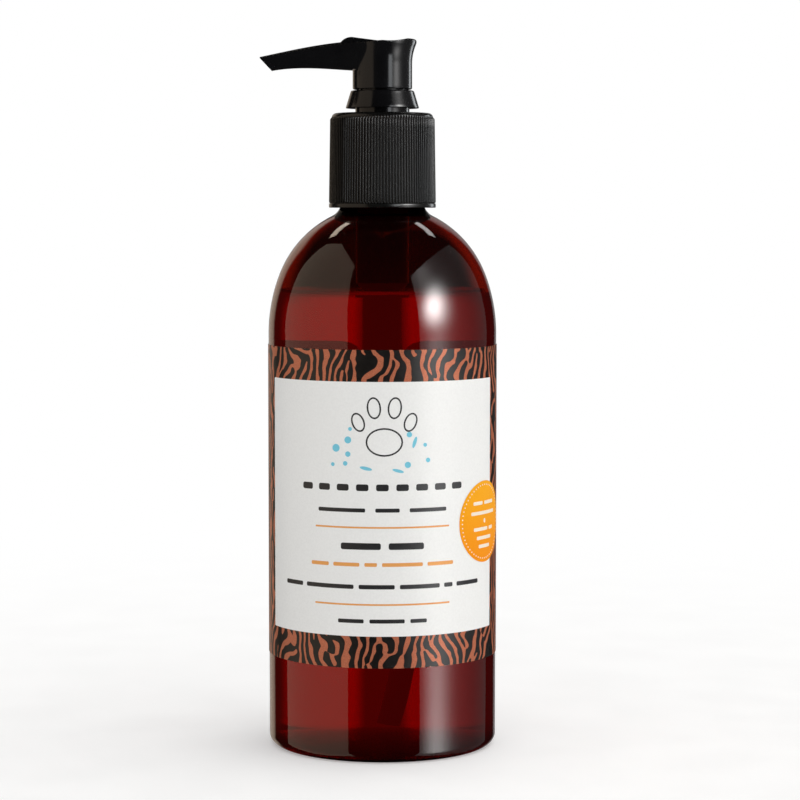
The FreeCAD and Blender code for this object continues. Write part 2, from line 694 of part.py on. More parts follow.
def make_piston():
    """The sliding seal: a lip at each end runs in the barrel, and its sleeve slides on the stem."""
    body = new_body("piston")
    lip = "(barrel_bore - running)"
    turned(body, (
        ("stem_radius + 0.9", "piston_low"),
        ("stem_radius + 1.5", "piston_low"),
        ("stem_radius + 1.5", "piston_low + 1.6"),
        (f"{lip} - 0.5", "piston_low"),
        (lip, "piston_low + 0.1"),
        (lip, "piston_low + 0.9"),
        (f"{lip} - 0.6", "piston_low + 2.4"),
        (f"{lip} - 0.6", "piston_high - 2.4"),
        (lip, "piston_high - 0.9"),
        (lip, "piston_high - 0.1"),
        (f"{lip} - 0.5", "piston_high"),
        (f"{lip} - 1.0", "piston_high - 1.8"),
        ("stem_radius + 0.9", "piston_high - 1.8"),
        ("stem_radius + 0.9", "piston_high"),
        ("stem_radius + running", "piston_high"),
        ("stem_radius + running", "piston_low + 3.4"),
        ("stem_radius + 0.9", "piston_low + 3.4"),
    ))
    return body


def make_piston_seat():
    """The spindle plugged into the stem: its flange closes the piston and takes the spring."""
    body = new_body("piston_seat")
    flange_high = "(piston_low - slip - running)"
    turned(body, (
        ("0", f"{flange_high} - 4.6"),
        ("spring_radius - spring_wire - 0.5", f"{flange_high} - 4.6"),
        ("spring_radius - spring_wire - 0.1", f"{flange_high} - 4.0"),
        ("spring_radius - spring_wire - 0.1", f"{flange_high} - 1.2"),
        ("barrel_bore - 1", f"{flange_high} - 1.2"),
        ("barrel_bore - 1", flange_high),
        ("stem_radius - 0.4", flange_high),
        ("stem_bore - running", "piston_low + 2"),
        ("stem_bore - running", "piston_high + 3"),
        ("stem_bore - 0.5", "piston_high + 3.6"),
        ("0", "piston_high + 3.6"),
    ))
    flute = outline(new_sketch(body, "flute", "XY_Plane", "piston_high + 4"), (
        ("stem_bore - 1", "-flute_width / 2"),
        ("stem_bore + 1", "-flute_width / 2"),
        ("stem_bore + 1", "flute_width / 2"),
        ("stem_bore - 1", "flute_width / 2"),
    ))
    repeated(body, extruded(body, flute, "piston_high - piston_low + 1", cut=True), "4")
    return body


def make_spring():
    """A compression spring between the barrel's floor and the piston seat."""
    body = new_body("spring")
    low = "(barrel_floor + spring_wire / 2 + running)"
    high = "(piston_low - slip - 1.2 - 2 * running - spring_wire / 2)"
    wire = circle(new_sketch(body, "wire_section", "XZ_Plane"), "spring_radius", low, "spring_wire / 2")
    coil = body.newObject("PartDesign::AdditiveHelix", "coil")
    coil.Profile = wire
    coil.ReferenceAxis = (wire, ["V_Axis"])
    coil.Mode = "height-turns-angle"
    bind(coil, Height=f"{high} - {low}", Turns="spring_turns")
    doc.recompute()
    return body


# ---------------------------------------------------------------- head

# distance from the axis, half width on top and below, side edge and underside below head_high, crown
SPOUT_SECTIONS = (
    ("0", "lip_radius - 0.3", "6.0", "1.1", "8.0", "0.5"),
    ("11", "6.6", "4.2", "1.6", "7.75", "0.8"),
    ("21", "4.8", "3.2", "2.9", "7.4", "0.6"),
    ("spout_reach + 1", "3.4", "2.4", "5.2", "9.1", "0.4"),
)


def spout_section(body, number):
    """A cross-section of the spout: flat below, crowned on top."""
    reach, half_top, half_low, edge_drop, low_drop, crown = SPOUT_SECTIONS[number]
    edge, low, name = f"head_high - {edge_drop}", f"head_high - {low_drop}", f"spout_section_{number}"
    sketch = new_sketch(body, name, "YZ_Plane", f"-({reach})")
    outline(sketch, (
        (f"-({half_low})", low),
        (half_low, low),
        (half_top, edge, dome_radius(half_top, crown)),
        (f"-({half_top})", edge),
    ))
    return sketch


def lofted(body, name, sections, cut=False):
    feature = body.newObject("PartDesign::SubtractiveLoft" if cut else "PartDesign::AdditiveLoft", name)
    feature.Profile = sections[0]
    feature.Sections = sections[1:]
    doc.recompute()
    return feature


def make_shaft(body):
    """The flared shaft, the plug under it, and the slope of the head's top behind the thumb rest."""
    shaft = turned(body, (
        ("0", "stem_high"),
        ("plug_radius - plug_wall", "head_low + 0.8"),
        ("plug_radius - plug_wall", "plug_low"),
        ("plug_radius", "plug_low"),
        ("plug_radius", "head_low"),
        ("head_radius - 0.15", "head_low"),
        ("head_radius", "head_low + 0.25"),
        ("head_radius", "flare_start", "-12.6"),
        ("lip_radius", "head_high - 1.0"),
        ("lip_radius", "head_high"),
        ("0", "head_high"),
    ))
    rounded(body, shaft, [("lip_radius", "head_high")], "lip_edge")
    slope = outline(new_sketch(body, "top_slope", "XZ_Plane"), (
        ("6.6", "head_high"),
        ("6.6", "head_high + 1"),
        ("-lip_radius - 1", "head_high + 1"),
        ("-lip_radius - 1", "head_high - 1.5"),
        ("0", "head_high - 0.65", "16"),
    ))
    extruded(body, slope, "lip_radius * 3", cut=True, both_ways=True)


def make_spout(body):
    """The tapering spout, cut off at a slant."""
    lofted(body, "spout", [spout_section(body, number) for number in range(len(SPOUT_SECTIONS))])
    tip = outline(new_sketch(body, "tip_cut", "XZ_Plane"), (
        ("-spout_reach - 4", "head_high - 11.4"),
        ("-spout_reach + 6", "head_high - 11.4"),
        ("-spout_reach", "head_high - 5.0"),
        ("-spout_reach", "head_high"),
        ("-spout_reach - 4", "head_high"),
    ))
    extruded(body, tip, "lip_radius * 2", cut=True, both_ways=True)


def make_thumb_rest(body):
    rest = outline(new_sketch(body, "thumb_rest", "XZ_Plane"), (
        ("-10.9", "head_high - 3"),
        ("2.5", "head_high - 3"),
        ("2.5", "head_high - 1.0"),
        ("-7.2", "thumb_high", "3.6"),
        ("-10.9", "thumb_high - 1.3"),
    ))
    extruded(body, rest, "thumb_width", both_ways=True)


def make_passages(body):
    """The socket for the stem and the channel that leads from it through the spout."""
    turned(body, (
        ("0", "plug_low - 1"),
        ("stem_radius + 0.02", "plug_low - 1"),
        ("stem_radius + 0.02", "stem_high + 0.05"),
        ("stem_bore", "stem_high + 0.05"),
        ("stem_bore", "channel_height + spout_bore"),
        ("0", "channel_height + spout_bore"),
    ), cut=True)
    rounds = []
    for name, reach, drop, radius in (
        ("channel_start", "0", "0", "spout_bore"),
        ("channel_middle", "20", "0.2", "spout_bore"),
        ("channel_end", "spout_reach + 2", "2.6", "spout_bore * 0.85"),
    ):
        sketch = new_sketch(body, name, "YZ_Plane", f"-({reach})")
        rounds.append(circle(sketch, "0", f"channel_height - {drop}", radius))
    lofted(body, "channel", rounds, cut=True)


def make_lugs(body):
    """Two lugs on the plug that lock under the collar's lip."""
    crest = "sqrt(lug_radius^2 - lug_width^2 / 4)"
    lug = outline(new_sketch(body, "lug", "XY_Plane", "plug_low + 1.7"), (
        ("-lug_width / 2", "plug_radius - 0.8"),
        ("lug_width / 2", "plug_radius - 0.8"),
        ("lug_width / 2", crest, "lug_radius"),
        ("-lug_width / 2", crest),
    ))
    repeated(body, extruded(body, lug, "1.5"), "2")


def make_actuator():
    """The head: a flared shaft, a tapering spout, a raised thumb rest and a plug with two lugs."""
    body = new_body("actuator")
    make_shaft(body)
    make_spout(body)
    make_thumb_rest(body)
    make_passages(body)
    make_lugs(body)
    return body


# ---------------------------------------------------------------- build, test and write

def failed_objects():
    return [thing.Name for thing in doc.Objects if "Invalid" in thing.State or "Error" in thing.State]


PIECES = [make() for make in (
    make_bottle, make_label, make_sticker, make_shampoo, make_closure, make_gasket, make_housing,
    make_collar, make_ball, make_dip_tube, make_spring, make_piston, make_piston_seat, make_stem,
    make_actuator,
)]
doc.recompute()
if failed_objects():
    raise RuntimeError(f"these objects failed: {failed_objects()}")
if value_of("piston_high + stroke") > value_of(FLANGE_LOW):
    raise RuntimeError("the piston would leave the barrel at the top of its stroke")
for piece in PIECES:
    if piece.Shape.isNull() or not piece.Shape.isValid() or len(piece.Shape.Solids) != 1:
        raise RuntimeError(f"{piece.Label} is not one valid solid")
os.makedirs("parts", exist_ok=True)
for piece in PIECES:
    piece.Shape.exportStep(f"parts/{piece.Label}.step")
    print(f"{piece.Label}: {piece.Shape.Volume:.1f} mm3")
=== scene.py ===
import math

import bmesh
import bpy
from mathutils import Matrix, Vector


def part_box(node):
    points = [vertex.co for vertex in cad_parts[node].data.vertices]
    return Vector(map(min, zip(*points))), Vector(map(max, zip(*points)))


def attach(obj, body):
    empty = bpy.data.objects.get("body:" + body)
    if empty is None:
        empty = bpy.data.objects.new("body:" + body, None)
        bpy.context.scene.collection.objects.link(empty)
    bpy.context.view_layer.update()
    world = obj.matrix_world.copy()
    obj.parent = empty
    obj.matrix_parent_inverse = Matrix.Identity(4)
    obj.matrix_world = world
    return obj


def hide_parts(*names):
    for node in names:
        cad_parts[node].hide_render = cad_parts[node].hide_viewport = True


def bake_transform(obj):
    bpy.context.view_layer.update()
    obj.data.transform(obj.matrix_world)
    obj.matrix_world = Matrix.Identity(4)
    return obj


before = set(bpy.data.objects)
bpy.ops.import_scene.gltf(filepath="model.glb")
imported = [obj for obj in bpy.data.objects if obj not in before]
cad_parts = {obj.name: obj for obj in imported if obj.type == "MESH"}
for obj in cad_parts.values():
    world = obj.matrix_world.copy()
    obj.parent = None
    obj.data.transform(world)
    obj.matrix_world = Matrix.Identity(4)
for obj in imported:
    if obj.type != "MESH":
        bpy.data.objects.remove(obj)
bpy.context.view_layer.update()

MM = 0.001


def low(node, axis):
    """The node's lowest coordinate along an axis, in millimetres."""
    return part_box(node)[0][axis] / MM


def high(node, axis):
    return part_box(node)[1][axis] / MM


# ---- sizes in millimetres

WALL = 0.8
BODY = high("bottle", 0)
BASE_CORNER = 2.9
PUSH_UP_RADIUS, PUSH_UP_RISE, BASE_THICKNESS = 22.0, 3.4, 1.4
SHOULDER_START = 108.9
LOW_ARC, LOW_TURN = 43.1, math.radians(21.7)
HIGH_ARC = 28.4
NECK_FILLET = 4.5
NECK, NECK_BORE, NECK_TOP = 10.75, 9.0, high("bottle", 2)
NECK_LIP = 0.3
THREAD_PITCH, THREAD_START, THREAD_CREST = 3.175, 150.6, 11.85
TURN_X = BODY - LOW_ARC * (1 - math.cos(LOW_TURN))
TURN_Z = SHOULDER_START + LOW_ARC * math.sin(LOW_TURN)
HIGH_X = TURN_X - HIGH_ARC * math.cos(LOW_TURN)
HIGH_Z = TURN_Z - HIGH_ARC * math.sin(LOW_TURN)
FILL = high("shampoo", 2)

LABEL_LOW, LABEL_HIGH = low("wrap_label", 2), high("wrap_label", 2)
LABEL_FACE = high("wrap_label", 0)
LABEL_THICKNESS = 0.12
LABEL_GAP, LABEL_CORNER = 6.0, 3.0
INK = 0.02
PANEL_HALF, PANEL_LOW, PANEL_HIGH = 35.8, 33.0, 98.0

CAP_LOW, CAP_HIGH = low("closure", 2), high("closure", 2)
CAP_FOOT, CAP_HEAD = high("closure", 0), 13.72
RIBS, RIB_DEPTH = 110, 0.42
COLLAR_TOP = high("locking_collar", 2)
HEAD_LOW, HEAD_TOP = 172.8, high("actuator", 2)
HEAD_HIGH = HEAD_TOP - 0.25
CUTTER_HALF = 14
SPOUT_REACH = -low("actuator", 0)
SPOUT_LOFT = 33.0
PLUG_LOW = low("actuator", 2)
SLOT_HALF = 2.8


# ---- outlines

def arc(start, finish, radius, steps=16):
    """Points from start towards finish, without it. The arc turns left if the radius is positive."""
    a, b = Vector(start), Vector(finish)
    chord = b - a
    to_centre = Vector((-chord.y, chord.x)).normalized() * math.sqrt(radius**2 - chord.length**2 / 4)
    centre = a + chord / 2 + to_centre * math.copysign(1, radius)
    first = math.atan2(a.y - centre.y, a.x - centre.x)
    swing = 2 * math.asin(chord.length / 2 / abs(radius)) * math.copysign(1, radius)
    turns = [first + swing * step / steps for step in range(steps)]
    return [(centre.x + abs(radius) * math.cos(t), centre.y + abs(radius) * math.sin(t)) for t in turns]


def line(start, finish, steps=1):
    """Points from start towards finish, without it."""
    return [tuple(Vector(start).lerp(Vector(finish), step / steps)) for step in range(steps)]


def rounded_box(x, z, half_width, half_height, radius, steps=5):
    """A rectangle with round corners, about its middle."""
    radius = min(radius, half_width * 0.999, half_height * 0.999)
    points = []
    for quarter, (side, end) in enumerate(((1, 1), (-1, 1), (-1, -1), (1, -1))):
        for step in range(steps + 1):
            turn = math.radians(90) * (quarter + step / steps)
            points.append((x + side * (half_width - radius) + radius * math.cos(turn),
                           z + end * (half_height - radius) + radius * math.sin(turn)))
    return points


def ellipse(x, z, half_width, half_height, lean=0.0, steps=28):
    """An ellipse whose tall axis leans clockwise by an angle in degrees."""
    lean = math.radians(lean)
    points = []
    for step in range(steps):
        turn = 2 * math.pi * step / steps
        across, up = half_width * math.cos(turn), half_height * math.sin(turn)
        points.append((x + across * math.cos(lean) + up * math.sin(lean),
                       z - across * math.sin(lean) + up * math.cos(lean)))
    return points


# ---- meshes

def in_scene(name, data):
    thing = bpy.data.objects.new(name, data)
    bpy.context.scene.collection.objects.link(thing)
    return thing


def make_object(name, vertices, faces, sharp=35):
    """A mesh object from millimetres, with outward faces that are smooth except at sharp edges."""
    mesh = bpy.data.meshes.new(name)
    mesh.from_pydata([(x * MM, y * MM, z * MM) for x, y, z in vertices], [], faces)
    return finished(name, mesh, sharp)


def finished(name, mesh, sharp=35):
    work = bmesh.new()
    work.from_mesh(mesh)
    bmesh.ops.remove_doubles(work, verts=work.verts, dist=1e-7)
    bmesh.ops.recalc_face_normals(work, faces=work.faces)
    work.to_mesh(mesh)
    work.free()
    mesh.shade_smooth()
    mesh.set_sharp_from_angle(angle=math.radians(sharp))
    return in_scene(name, mesh)


def spun(outline, count=256, wave=None):
    """An outline of (radius, height) turned about Z.

    A third value in a point is the share of the wave, a function of the angle, added to its radius.
    """
    vertices, faces, rings = [], [], []
    for point in outline:
        first = len(vertices)
        if point[0] < 1e-6:
            vertices.append((0, 0, point[1]))
            rings.append([first] * count)
            continue
        for step in range(count):
            turn = 2 * math.pi * step / count
            radius = point[0] + (point[2] * wave(turn) if len(point) > 2 else 0)
            vertices.append((radius * math.cos(turn), radius * math.sin(turn), point[1]))
        rings.append(list(range(first, first + count)))
    pairs = list(zip(rings, rings[1:]))
    if outline[0][0] > 1e-6:
        pairs.append((rings[-1], rings[0]))
    for lower, upper in pairs:
        for step in range(count):
            following = (step + 1) % count
            corners = (lower[step], lower[following], upper[following], upper[step])
            faces.append(list(dict.fromkeys(corners)))
    return vertices, faces


def skin(rings, hollow=False):
    """Vertices and faces through rings of points: closed at both ends or, if hollow, back to the start."""
    number, count = len(rings), len(rings[0])
    vertices = [point for ring in rings for point in ring]
    ends = [list(range(count)), list(range((number - 1) * count, number * count))]
    faces = [] if hollow else ends
    for place in range(number if hollow else number - 1):
        a = place * count
        b = (place + 1) % number * count
        for step in range(count):
            following = (step + 1) % count
            faces.append([a + step, a + following, b + following, b + step])
    return vertices, faces


def ridge(root, crest, foot, flat, start, turns, steps=160):
    """A screw thread's ridge: foot and flat are half its height at the root and at the crest."""
    run_out = 1 / 12
    rings = []
    for step in range(steps + 1):
        share = step / steps
        grow = min(1, share / run_out, (1 - share) / run_out)
        tip = root + (crest - root) * max(grow, 0.02)
        turn = 2 * math.pi * turns * share
        middle = start + THREAD_PITCH * turns * share
        corners = ((root, -foot), (tip, -flat), (tip, flat), (root, foot))
        rings.append([(radius * math.cos(turn), radius * math.sin(turn), middle + offset)
                      for radius, offset in corners])
    return skin(rings)


def joined(*parts):
    """Several (vertices, faces) as one."""
    vertices, faces = [], []
    for more_vertices, more_faces in parts:
        first = len(vertices)
        vertices += more_vertices
        faces += [[first + corner for corner in face] for face in more_faces]
    return vertices, faces


def rings_along(centres, radius, count):
    """Rings of points round a line of points in the XZ plane."""
    rings = []
    across = Vector((0, 1, 0))
    for place, centre in enumerate(centres):
        before = centres[max(place - 1, 0)]
        after = centres[min(place + 1, len(centres) - 1)]
        along = (Vector(after) - Vector(before)).normalized()
        side = along.cross(across).normalized()
        turns = [2 * math.pi * step / count for step in range(count)]
        rings.append([tuple(Vector(centre) + (side * math.cos(turn) + across * math.sin(turn)) * radius)
                      for turn in turns])
    return rings


def wrapped(name, shapes, radius, thickness, step=1.0):
    """Flat outlines in (distance round the label from its front, height), rolled on to the bottle."""
    work = bmesh.new()
    for shape in shapes:
        work.faces.new([work.verts.new((across, 0, up)) for across, up in shape])
    bmesh.ops.remove_doubles(work, verts=work.verts, dist=1e-3)
    reach = [vertex.co.x for vertex in work.verts]
    for place in range(math.ceil(min(reach) / step), math.floor(max(reach) / step) + 1):
        everything = work.verts[:] + work.edges[:] + work.faces[:]
        bmesh.ops.bisect_plane(work, geom=everything, dist=1e-4,
                               plane_co=(place * step, 0, 0), plane_no=(1, 0, 0))
    vertices = [vertex.co.copy() for vertex in work.verts]
    work.verts.index_update()
    faces = [[vertex.index for vertex in face.verts] for face in work.faces]
    edges = [[vertex.index for vertex in edge.verts] for edge in work.edges if len(edge.link_faces) == 1]
    work.free()
    count = len(vertices)
    placed = []
    for layer in (radius, radius + thickness):
        for flat in vertices:
            turn = flat.x / LABEL_FACE
            placed.append((layer * math.sin(turn), -layer * math.cos(turn), flat.z))
    solid = faces + [[corner + count for corner in face] for face in faces]
    solid += [[a, b, b + count, a + count] for a, b in edges]
    return make_object(name, placed, solid, sharp=40)


def cut(thing, cutter):
    """Takes the cutter out of the thing and removes the cutter."""
    step = thing.modifiers.new("cut", "BOOLEAN")
    step.object = cutter
    step.operation = "DIFFERENCE"
    step.solver = "EXACT"
    settled(thing)
    bpy.data.objects.remove(cutter)


def settled(thing):
    """Applies the thing's modifiers."""
    seen = thing.evaluated_get(bpy.context.evaluated_depsgraph_get())
    mesh = bpy.data.meshes.new_from_object(seen)
    thing.modifiers.clear()
    thing.data = mesh


def block(name, outline, half_width):
    """A prism: an outline in (x, z) drawn out along Y to both sides of the middle."""
    sides = [[(x, y, z) for x, z in outline] for y in (-half_width, half_width)]
    return make_object(name, *skin(sides))


def shown(thing, body, slot, material, *nodes):
    """Gives a finished piece its body, look and the CAD nodes it stands for. The slot argument is not used.
    """
    thing.data.materials.clear()
    thing.data.materials.append(material)
    if nodes:
        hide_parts(*nodes)
    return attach(thing, body) if body else thing


# ---- node materials

class Look:
    """A node material under construction: adds nodes and links them by value or by socket."""

    def __init__(self, name):
        self.material = bpy.data.materials.new(name)
        self.material.use_nodes = True
        self.tree = self.material.node_tree
        self.tree.nodes.clear()
        self.out = self.tree.nodes.new("ShaderNodeOutputMaterial")

    def node(self, kind, inputs=None, **settings):
        made = self.tree.nodes.new("ShaderNode" + kind)
        for key, value in settings.items():
            setattr(made, key, value)
        for key, value in (inputs or {}).items():
            self.link(value, made.inputs[key])
        return made

    def link(self, value, socket):
        if isinstance(value, bpy.types.NodeSocket):
            self.tree.links.new(value, socket)
        else:
            socket.default_value = value

    def math(self, operation, first, second=0.0, third=0.0):
        made = self.node("Math", operation=operation)
        for socket, value in zip(made.inputs, (first, second, third)):
            self.link(value, socket)
        return made.outputs[0]

    def times(self, *values):
        product = values[0]
        for value in values[1:]:
            product = self.math("MULTIPLY", product, value)
        return product

    def ramp(self, value, start, finish, to_low=0.0, to_high=1.0, smooth=True):
        kind = "SMOOTHSTEP" if smooth else "LINEAR"
        return self.node("MapRange", {0: value, 1: start, 2: finish, 3: to_low, 4: to_high},
                         interpolation_type=kind).outputs[0]

    def mix(self, share, first, second):
        made = self.node("Mix", data_type="RGBA")
        for socket, value in ((0, share), (6, first), (7, second)):
            self.link(value, made.inputs[socket])
        return made.outputs[2]

    def noise(self, scale, detail=3.0, vector=None, roughness=0.5):
        """Noise of a number of bumps per metre."""
        source = vector or self.place()
        made = self.node("TexNoise", {"Vector": source, "Scale": scale, "Detail": detail,
                                      "Roughness": roughness})
        return made.outputs["Fac"]

    def place(self):
        return self.node("TexCoord").outputs["Object"]

    def split(self, vector):
        """The vector's x, y and z."""
        return self.node("SeparateXYZ", {0: vector}).outputs

    def bump(self, height, distance, strength=1.0):
        return self.node("Bump", {"Height": height, "Distance": distance,
                                  "Strength": strength}).outputs[0]

    def absorption(self, absorb):
        """A volume that takes absorb (red, green, blue, per metre) out of what passes through it."""
        density = max(absorb)
        tint = tuple(1 - value / density for value in absorb) + (1.0,)
        return self.node("VolumeAbsorption", {"Color": tint, "Density": density}).outputs[0]

    def done(self, shader, volume=None):
        self.tree.links.new(shader, self.out.inputs["Surface"])
        if volume is not None:
            self.tree.links.new(volume, self.out.inputs["Volume"])
        return self.material


def colour(red, green, blue):
    """Linear colour from the values a picture shows, 0 to 255."""
    def linear(value):
        value /= 255
        return value / 12.92 if value <= 0.04045 else ((value + 0.055) / 1.055) ** 2.4
    return (linear(red), linear(green), linear(blue), 1.0)


def scaled(shade, share):
    return (shade[0] * share, shade[1] * share, shade[2] * share, 1.0)


def solid_look(name, shade, roughness, grain=900.0, depth=2e-5, spread=0.12, handled=0.08, **extra):
    """An opaque material: cloudy colour, uneven polish, a fine skin and faint scuffs."""
    look = Look(name)
    cloud = look.noise(grain * 0.2, 4)
    skin = look.noise(grain, 6)
    scuffs = look.ramp(look.noise(grain * 0.6, 8, roughness=0.7), 0.62, 0.74)
    tint = look.mix(look.ramp(cloud, 0.3, 0.7), scaled(shade, 1 - spread), scaled(shade, 1 + spread))
    rough = look.math("ADD", look.ramp(cloud, 0.25, 0.75, roughness * 0.85, roughness * 1.15),
                      look.times(scuffs, handled))
    shader = look.node("BsdfPrincipled", {
        "Base Color": tint, "Roughness": rough, "Normal": look.bump(skin, depth), **extra})
    return look.done(shader.outputs[0])


def wet_skin(look, height):
    """1 on the bottle's inner skin below a height: it faces the middle of the bottle."""
    x, y, z = look.split(look.place())
    middle = look.math("SUBTRACT", look.math("MAXIMUM", z, 25.0 * MM), z)
    inward = look.node("CombineXYZ", {0: look.times(x, -1.0),
                                      1: look.times(y, -1.0), 2: middle}).outputs[0]
    geometry = look.node("NewGeometry")
    facing = look.node("VectorMath", {0: geometry.outputs["True Normal"], 1: inward},
                       operation="DOT_PRODUCT").outputs["Value"]
    side = look.math("MULTIPLY_ADD", geometry.outputs["Backfacing"], -2.0, 1.0)
    inside = look.math("GREATER_THAN", look.times(facing, side), 0.0)
    return look.times(inside, look.math("LESS_THAN", z, height))


# ---- bottle

PET_IOR, SHAMPOO_IOR = 1.57, 1.37


def shoulder(inset, neck):
    """From the top of the straight wall to the neck, moved in by inset."""
    turn = (TURN_X - inset * math.cos(LOW_TURN), TURN_Z - inset * math.sin(LOW_TURN))
    radius = HIGH_ARC - inset
    across = neck + NECK_FILLET - HIGH_X
    fillet_z = HIGH_Z + math.sqrt((radius + NECK_FILLET) ** 2 - across**2)
    share = radius / (radius + NECK_FILLET)
    touch = (HIGH_X + across * share, HIGH_Z + (fillet_z - HIGH_Z) * share)
    return (arc((BODY - inset, SHOULDER_START), turn, LOW_ARC - inset, 24)
            + arc(turn, touch, radius, 40)
            + arc(touch, (neck, fillet_z), -NECK_FILLET, 14)
            + [(neck, fillet_z)])


def dome(edge, rise, base):
    """From the axis down to the edge of the raised dome."""
    radius = (edge**2 + rise**2) / (2 * rise)
    return arc((0, base + rise), (edge, base), -radius, 24)


INNER_BASE = 0.8 * BASE_THICKNESS
INNER_EDGE = PUSH_UP_RADIUS + 0.6 * BASE_THICKNESS
INNER_RISE = PUSH_UP_RISE + 0.2 * BASE_THICKNESS


def inside_outline(gap):
    """The cavity from the middle of its floor to the top of the straight wall, moved in by gap."""
    corner = BASE_CORNER - WALL - gap
    floor = INNER_BASE + gap
    return (dome(INNER_EDGE, INNER_RISE, floor)
            + line((INNER_EDGE, floor), (BODY - BASE_CORNER, floor))
            + arc((BODY - BASE_CORNER, floor), (BODY - WALL - gap, floor + corner), corner, 12)
            + line((BODY - WALL - gap, floor + corner), (BODY - WALL - gap, SHOULDER_START), 8))


def bottle_look():
    """Amber plastic, whose wall is wet on the inside to just above the liquid's surface."""
    look = Look("amber_pet")
    absorb = (800.0, 2600.0, 5500.0)
    wet = wet_skin(look, (FILL + 0.4) * MM)
    shader = look.node("BsdfPrincipled", {
        "Base Color": (1, 1, 1, 1), "Transmission Weight": 1.0,
        "IOR": look.node("Mix", {0: wet, 2: PET_IOR, 3: PET_IOR / SHAMPOO_IOR}).outputs[0],
        "Roughness": look.ramp(look.noise(300.0, 4), 0.4, 0.8, 0.0, 0.02),
        "Normal": look.bump(look.noise(60.0, 2), 4e-5)})
    return look.done(shader.outputs[0], look.absorption(absorb))


def make_bottle():
    outer = (dome(PUSH_UP_RADIUS, PUSH_UP_RISE, 0)
             + line((PUSH_UP_RADIUS, 0), (BODY - BASE_CORNER, 0))
             + arc((BODY - BASE_CORNER, 0), (BODY, BASE_CORNER), BASE_CORNER, 16)
             + line((BODY, BASE_CORNER), (BODY, SHOULDER_START), 8)
             + shoulder(0, NECK))
    rim = (arc((NECK, NECK_TOP - NECK_LIP), (NECK - NECK_LIP, NECK_TOP), NECK_LIP, 4)
           + arc((NECK_BORE + NECK_LIP, NECK_TOP), (NECK_BORE, NECK_TOP - NECK_LIP), NECK_LIP, 4)
           + [(NECK_BORE, NECK_TOP - NECK_LIP)])
    inner = inside_outline(0) + shoulder(WALL, NECK_BORE)
    thread = ridge(root=NECK - 0.3, crest=THREAD_CREST, foot=1.0, flat=0.45, start=THREAD_START, turns=1.5)
    body = make_object("amber_bottle", *joined(spun(outer + rim + inner[::-1]), thread))
    shown(body, "bottle", "amber_pet", bottle_look(), "bottle")


def shampoo_look():
    """The side of the liquid doesn't bend light, because the wall it wets already does."""
    look = Look("orange_shampoo")
    height = look.split(look.place())[2]
    surface = look.math("GREATER_THAN", height, (FILL - 0.25) * MM)
    cloud = look.noise(120.0, 3)
    absorb = (9.0, 120.0, 260.0)
    shader = look.node("BsdfPrincipled", {
        "Base Color": (1, 1, 1, 1), "Transmission Weight": 1.0,
        "Roughness": look.ramp(cloud, 0.3, 0.7, 0.0, 0.01),
        "IOR": look.math("MULTIPLY_ADD", surface, SHAMPOO_IOR - 1, 1.0),
        "Normal": look.bump(cloud, 1e-5)})
    # Painted light: the liquid's volume glows red by itself, standing in for light that passes through the
    # filled bottle.
    painted_red_glow = look.node("Emission", {"Color": (1.0, 0.01, 0.0, 1), "Strength": 2.5})
    volume = look.node("AddShader", {0: look.absorption(absorb), 1: painted_red_glow.outputs[0]})
    return look.done(shader.outputs[0], volume.outputs[0])


def make_shampoo():
    """The liquid, just clear of the wall, with a surface that creeps up the wall at its edge."""
    gap, creep, steps = 0.03, 1.3, 12
    inset = WALL + gap
    edge_z = FILL + creep
    edge_x = BODY - LOW_ARC + math.sqrt((LOW_ARC - inset) ** 2 - (edge_z - SHOULDER_START) ** 2)
    flat_x = edge_x - creep * 2.2
    wall = arc((BODY - inset, SHOULDER_START), (edge_x, edge_z), LOW_ARC - inset, steps)
    surface = [(edge_x + (flat_x - edge_x) * share, FILL + creep * (1 - share) ** 3)
               for share in (step / steps for step in range(steps))]
    outline = inside_outline(gap) + wall + surface + [(flat_x, FILL), (0, FILL)]
    body = make_object("shampoo_fill", *spun(outline), sharp=60)
    shown(body, "bottle", "shampoo", shampoo_look(), "shampoo")


# ---- label

def sheet_place(look):
    """Millimetres round the label from its front, and up."""
    x, y, z = look.split(look.place())
    turn = look.math("ARCTAN2", x, look.times(y, -1.0))
    across = look.times(turn, LABEL_FACE)
    return look.node("CombineXYZ", {0: across, 1: look.math("DIVIDE", z, MM), 2: 0.0}).outputs[0]


def stripes_look():
    """Copper fur stripes printed over black. They fork where two fields of noise are both at 0.5."""
    look = Look("striped_print")
    spacing, sway_turns, wobble_turns = 2.9, 34.0, 3.0
    sheet = sheet_place(look)
    across = look.split(sheet)[0]
    shifted = look.node("VectorMath", {0: sheet, 1: (0, 0, 90.0)}, operation="ADD").outputs[0]
    sway = look.noise(0.07, 1.0, sheet)
    wobble = look.noise(0.3, 1.0, sheet)
    forks = look.math("ARCTAN2", look.math("SUBTRACT", look.noise(0.16, 0.0, sheet), 0.5),
                      look.math("SUBTRACT", look.noise(0.16, 0.0, shifted), 0.5))
    bent = look.math("MULTIPLY_ADD", sway, sway_turns, look.math("MULTIPLY_ADD", wobble, wobble_turns, forks))
    phase = look.math("MULTIPLY_ADD", across, 2 * math.pi / spacing, bent)
    swell = look.ramp(look.noise(0.3, 1.0, sheet), 0.25, 0.75, -0.15, 0.75, smooth=False)
    copper = look.ramp(look.math("SUBTRACT", look.math("SINE", phase), swell), -0.05, 0.05)
    fleck = look.noise(5000.0, 5)
    warm = look.mix(look.ramp(fleck, 0.3, 0.7), colour(168, 92, 64), colour(198, 114, 80))
    dark = look.mix(look.ramp(look.noise(700.0, 4), 0.3, 0.7), colour(13, 11, 11), colour(21, 18, 17))
    shader = look.node("BsdfPrincipled", {
        "Base Color": look.mix(copper, dark, warm),
        "Roughness": look.ramp(fleck, 0.3, 0.7, 0.34, 0.42),
        "Metallic": look.times(copper, 0.15),
        "Normal": look.bump(fleck, 3e-6)})
    return look.done(shader.outputs[0])


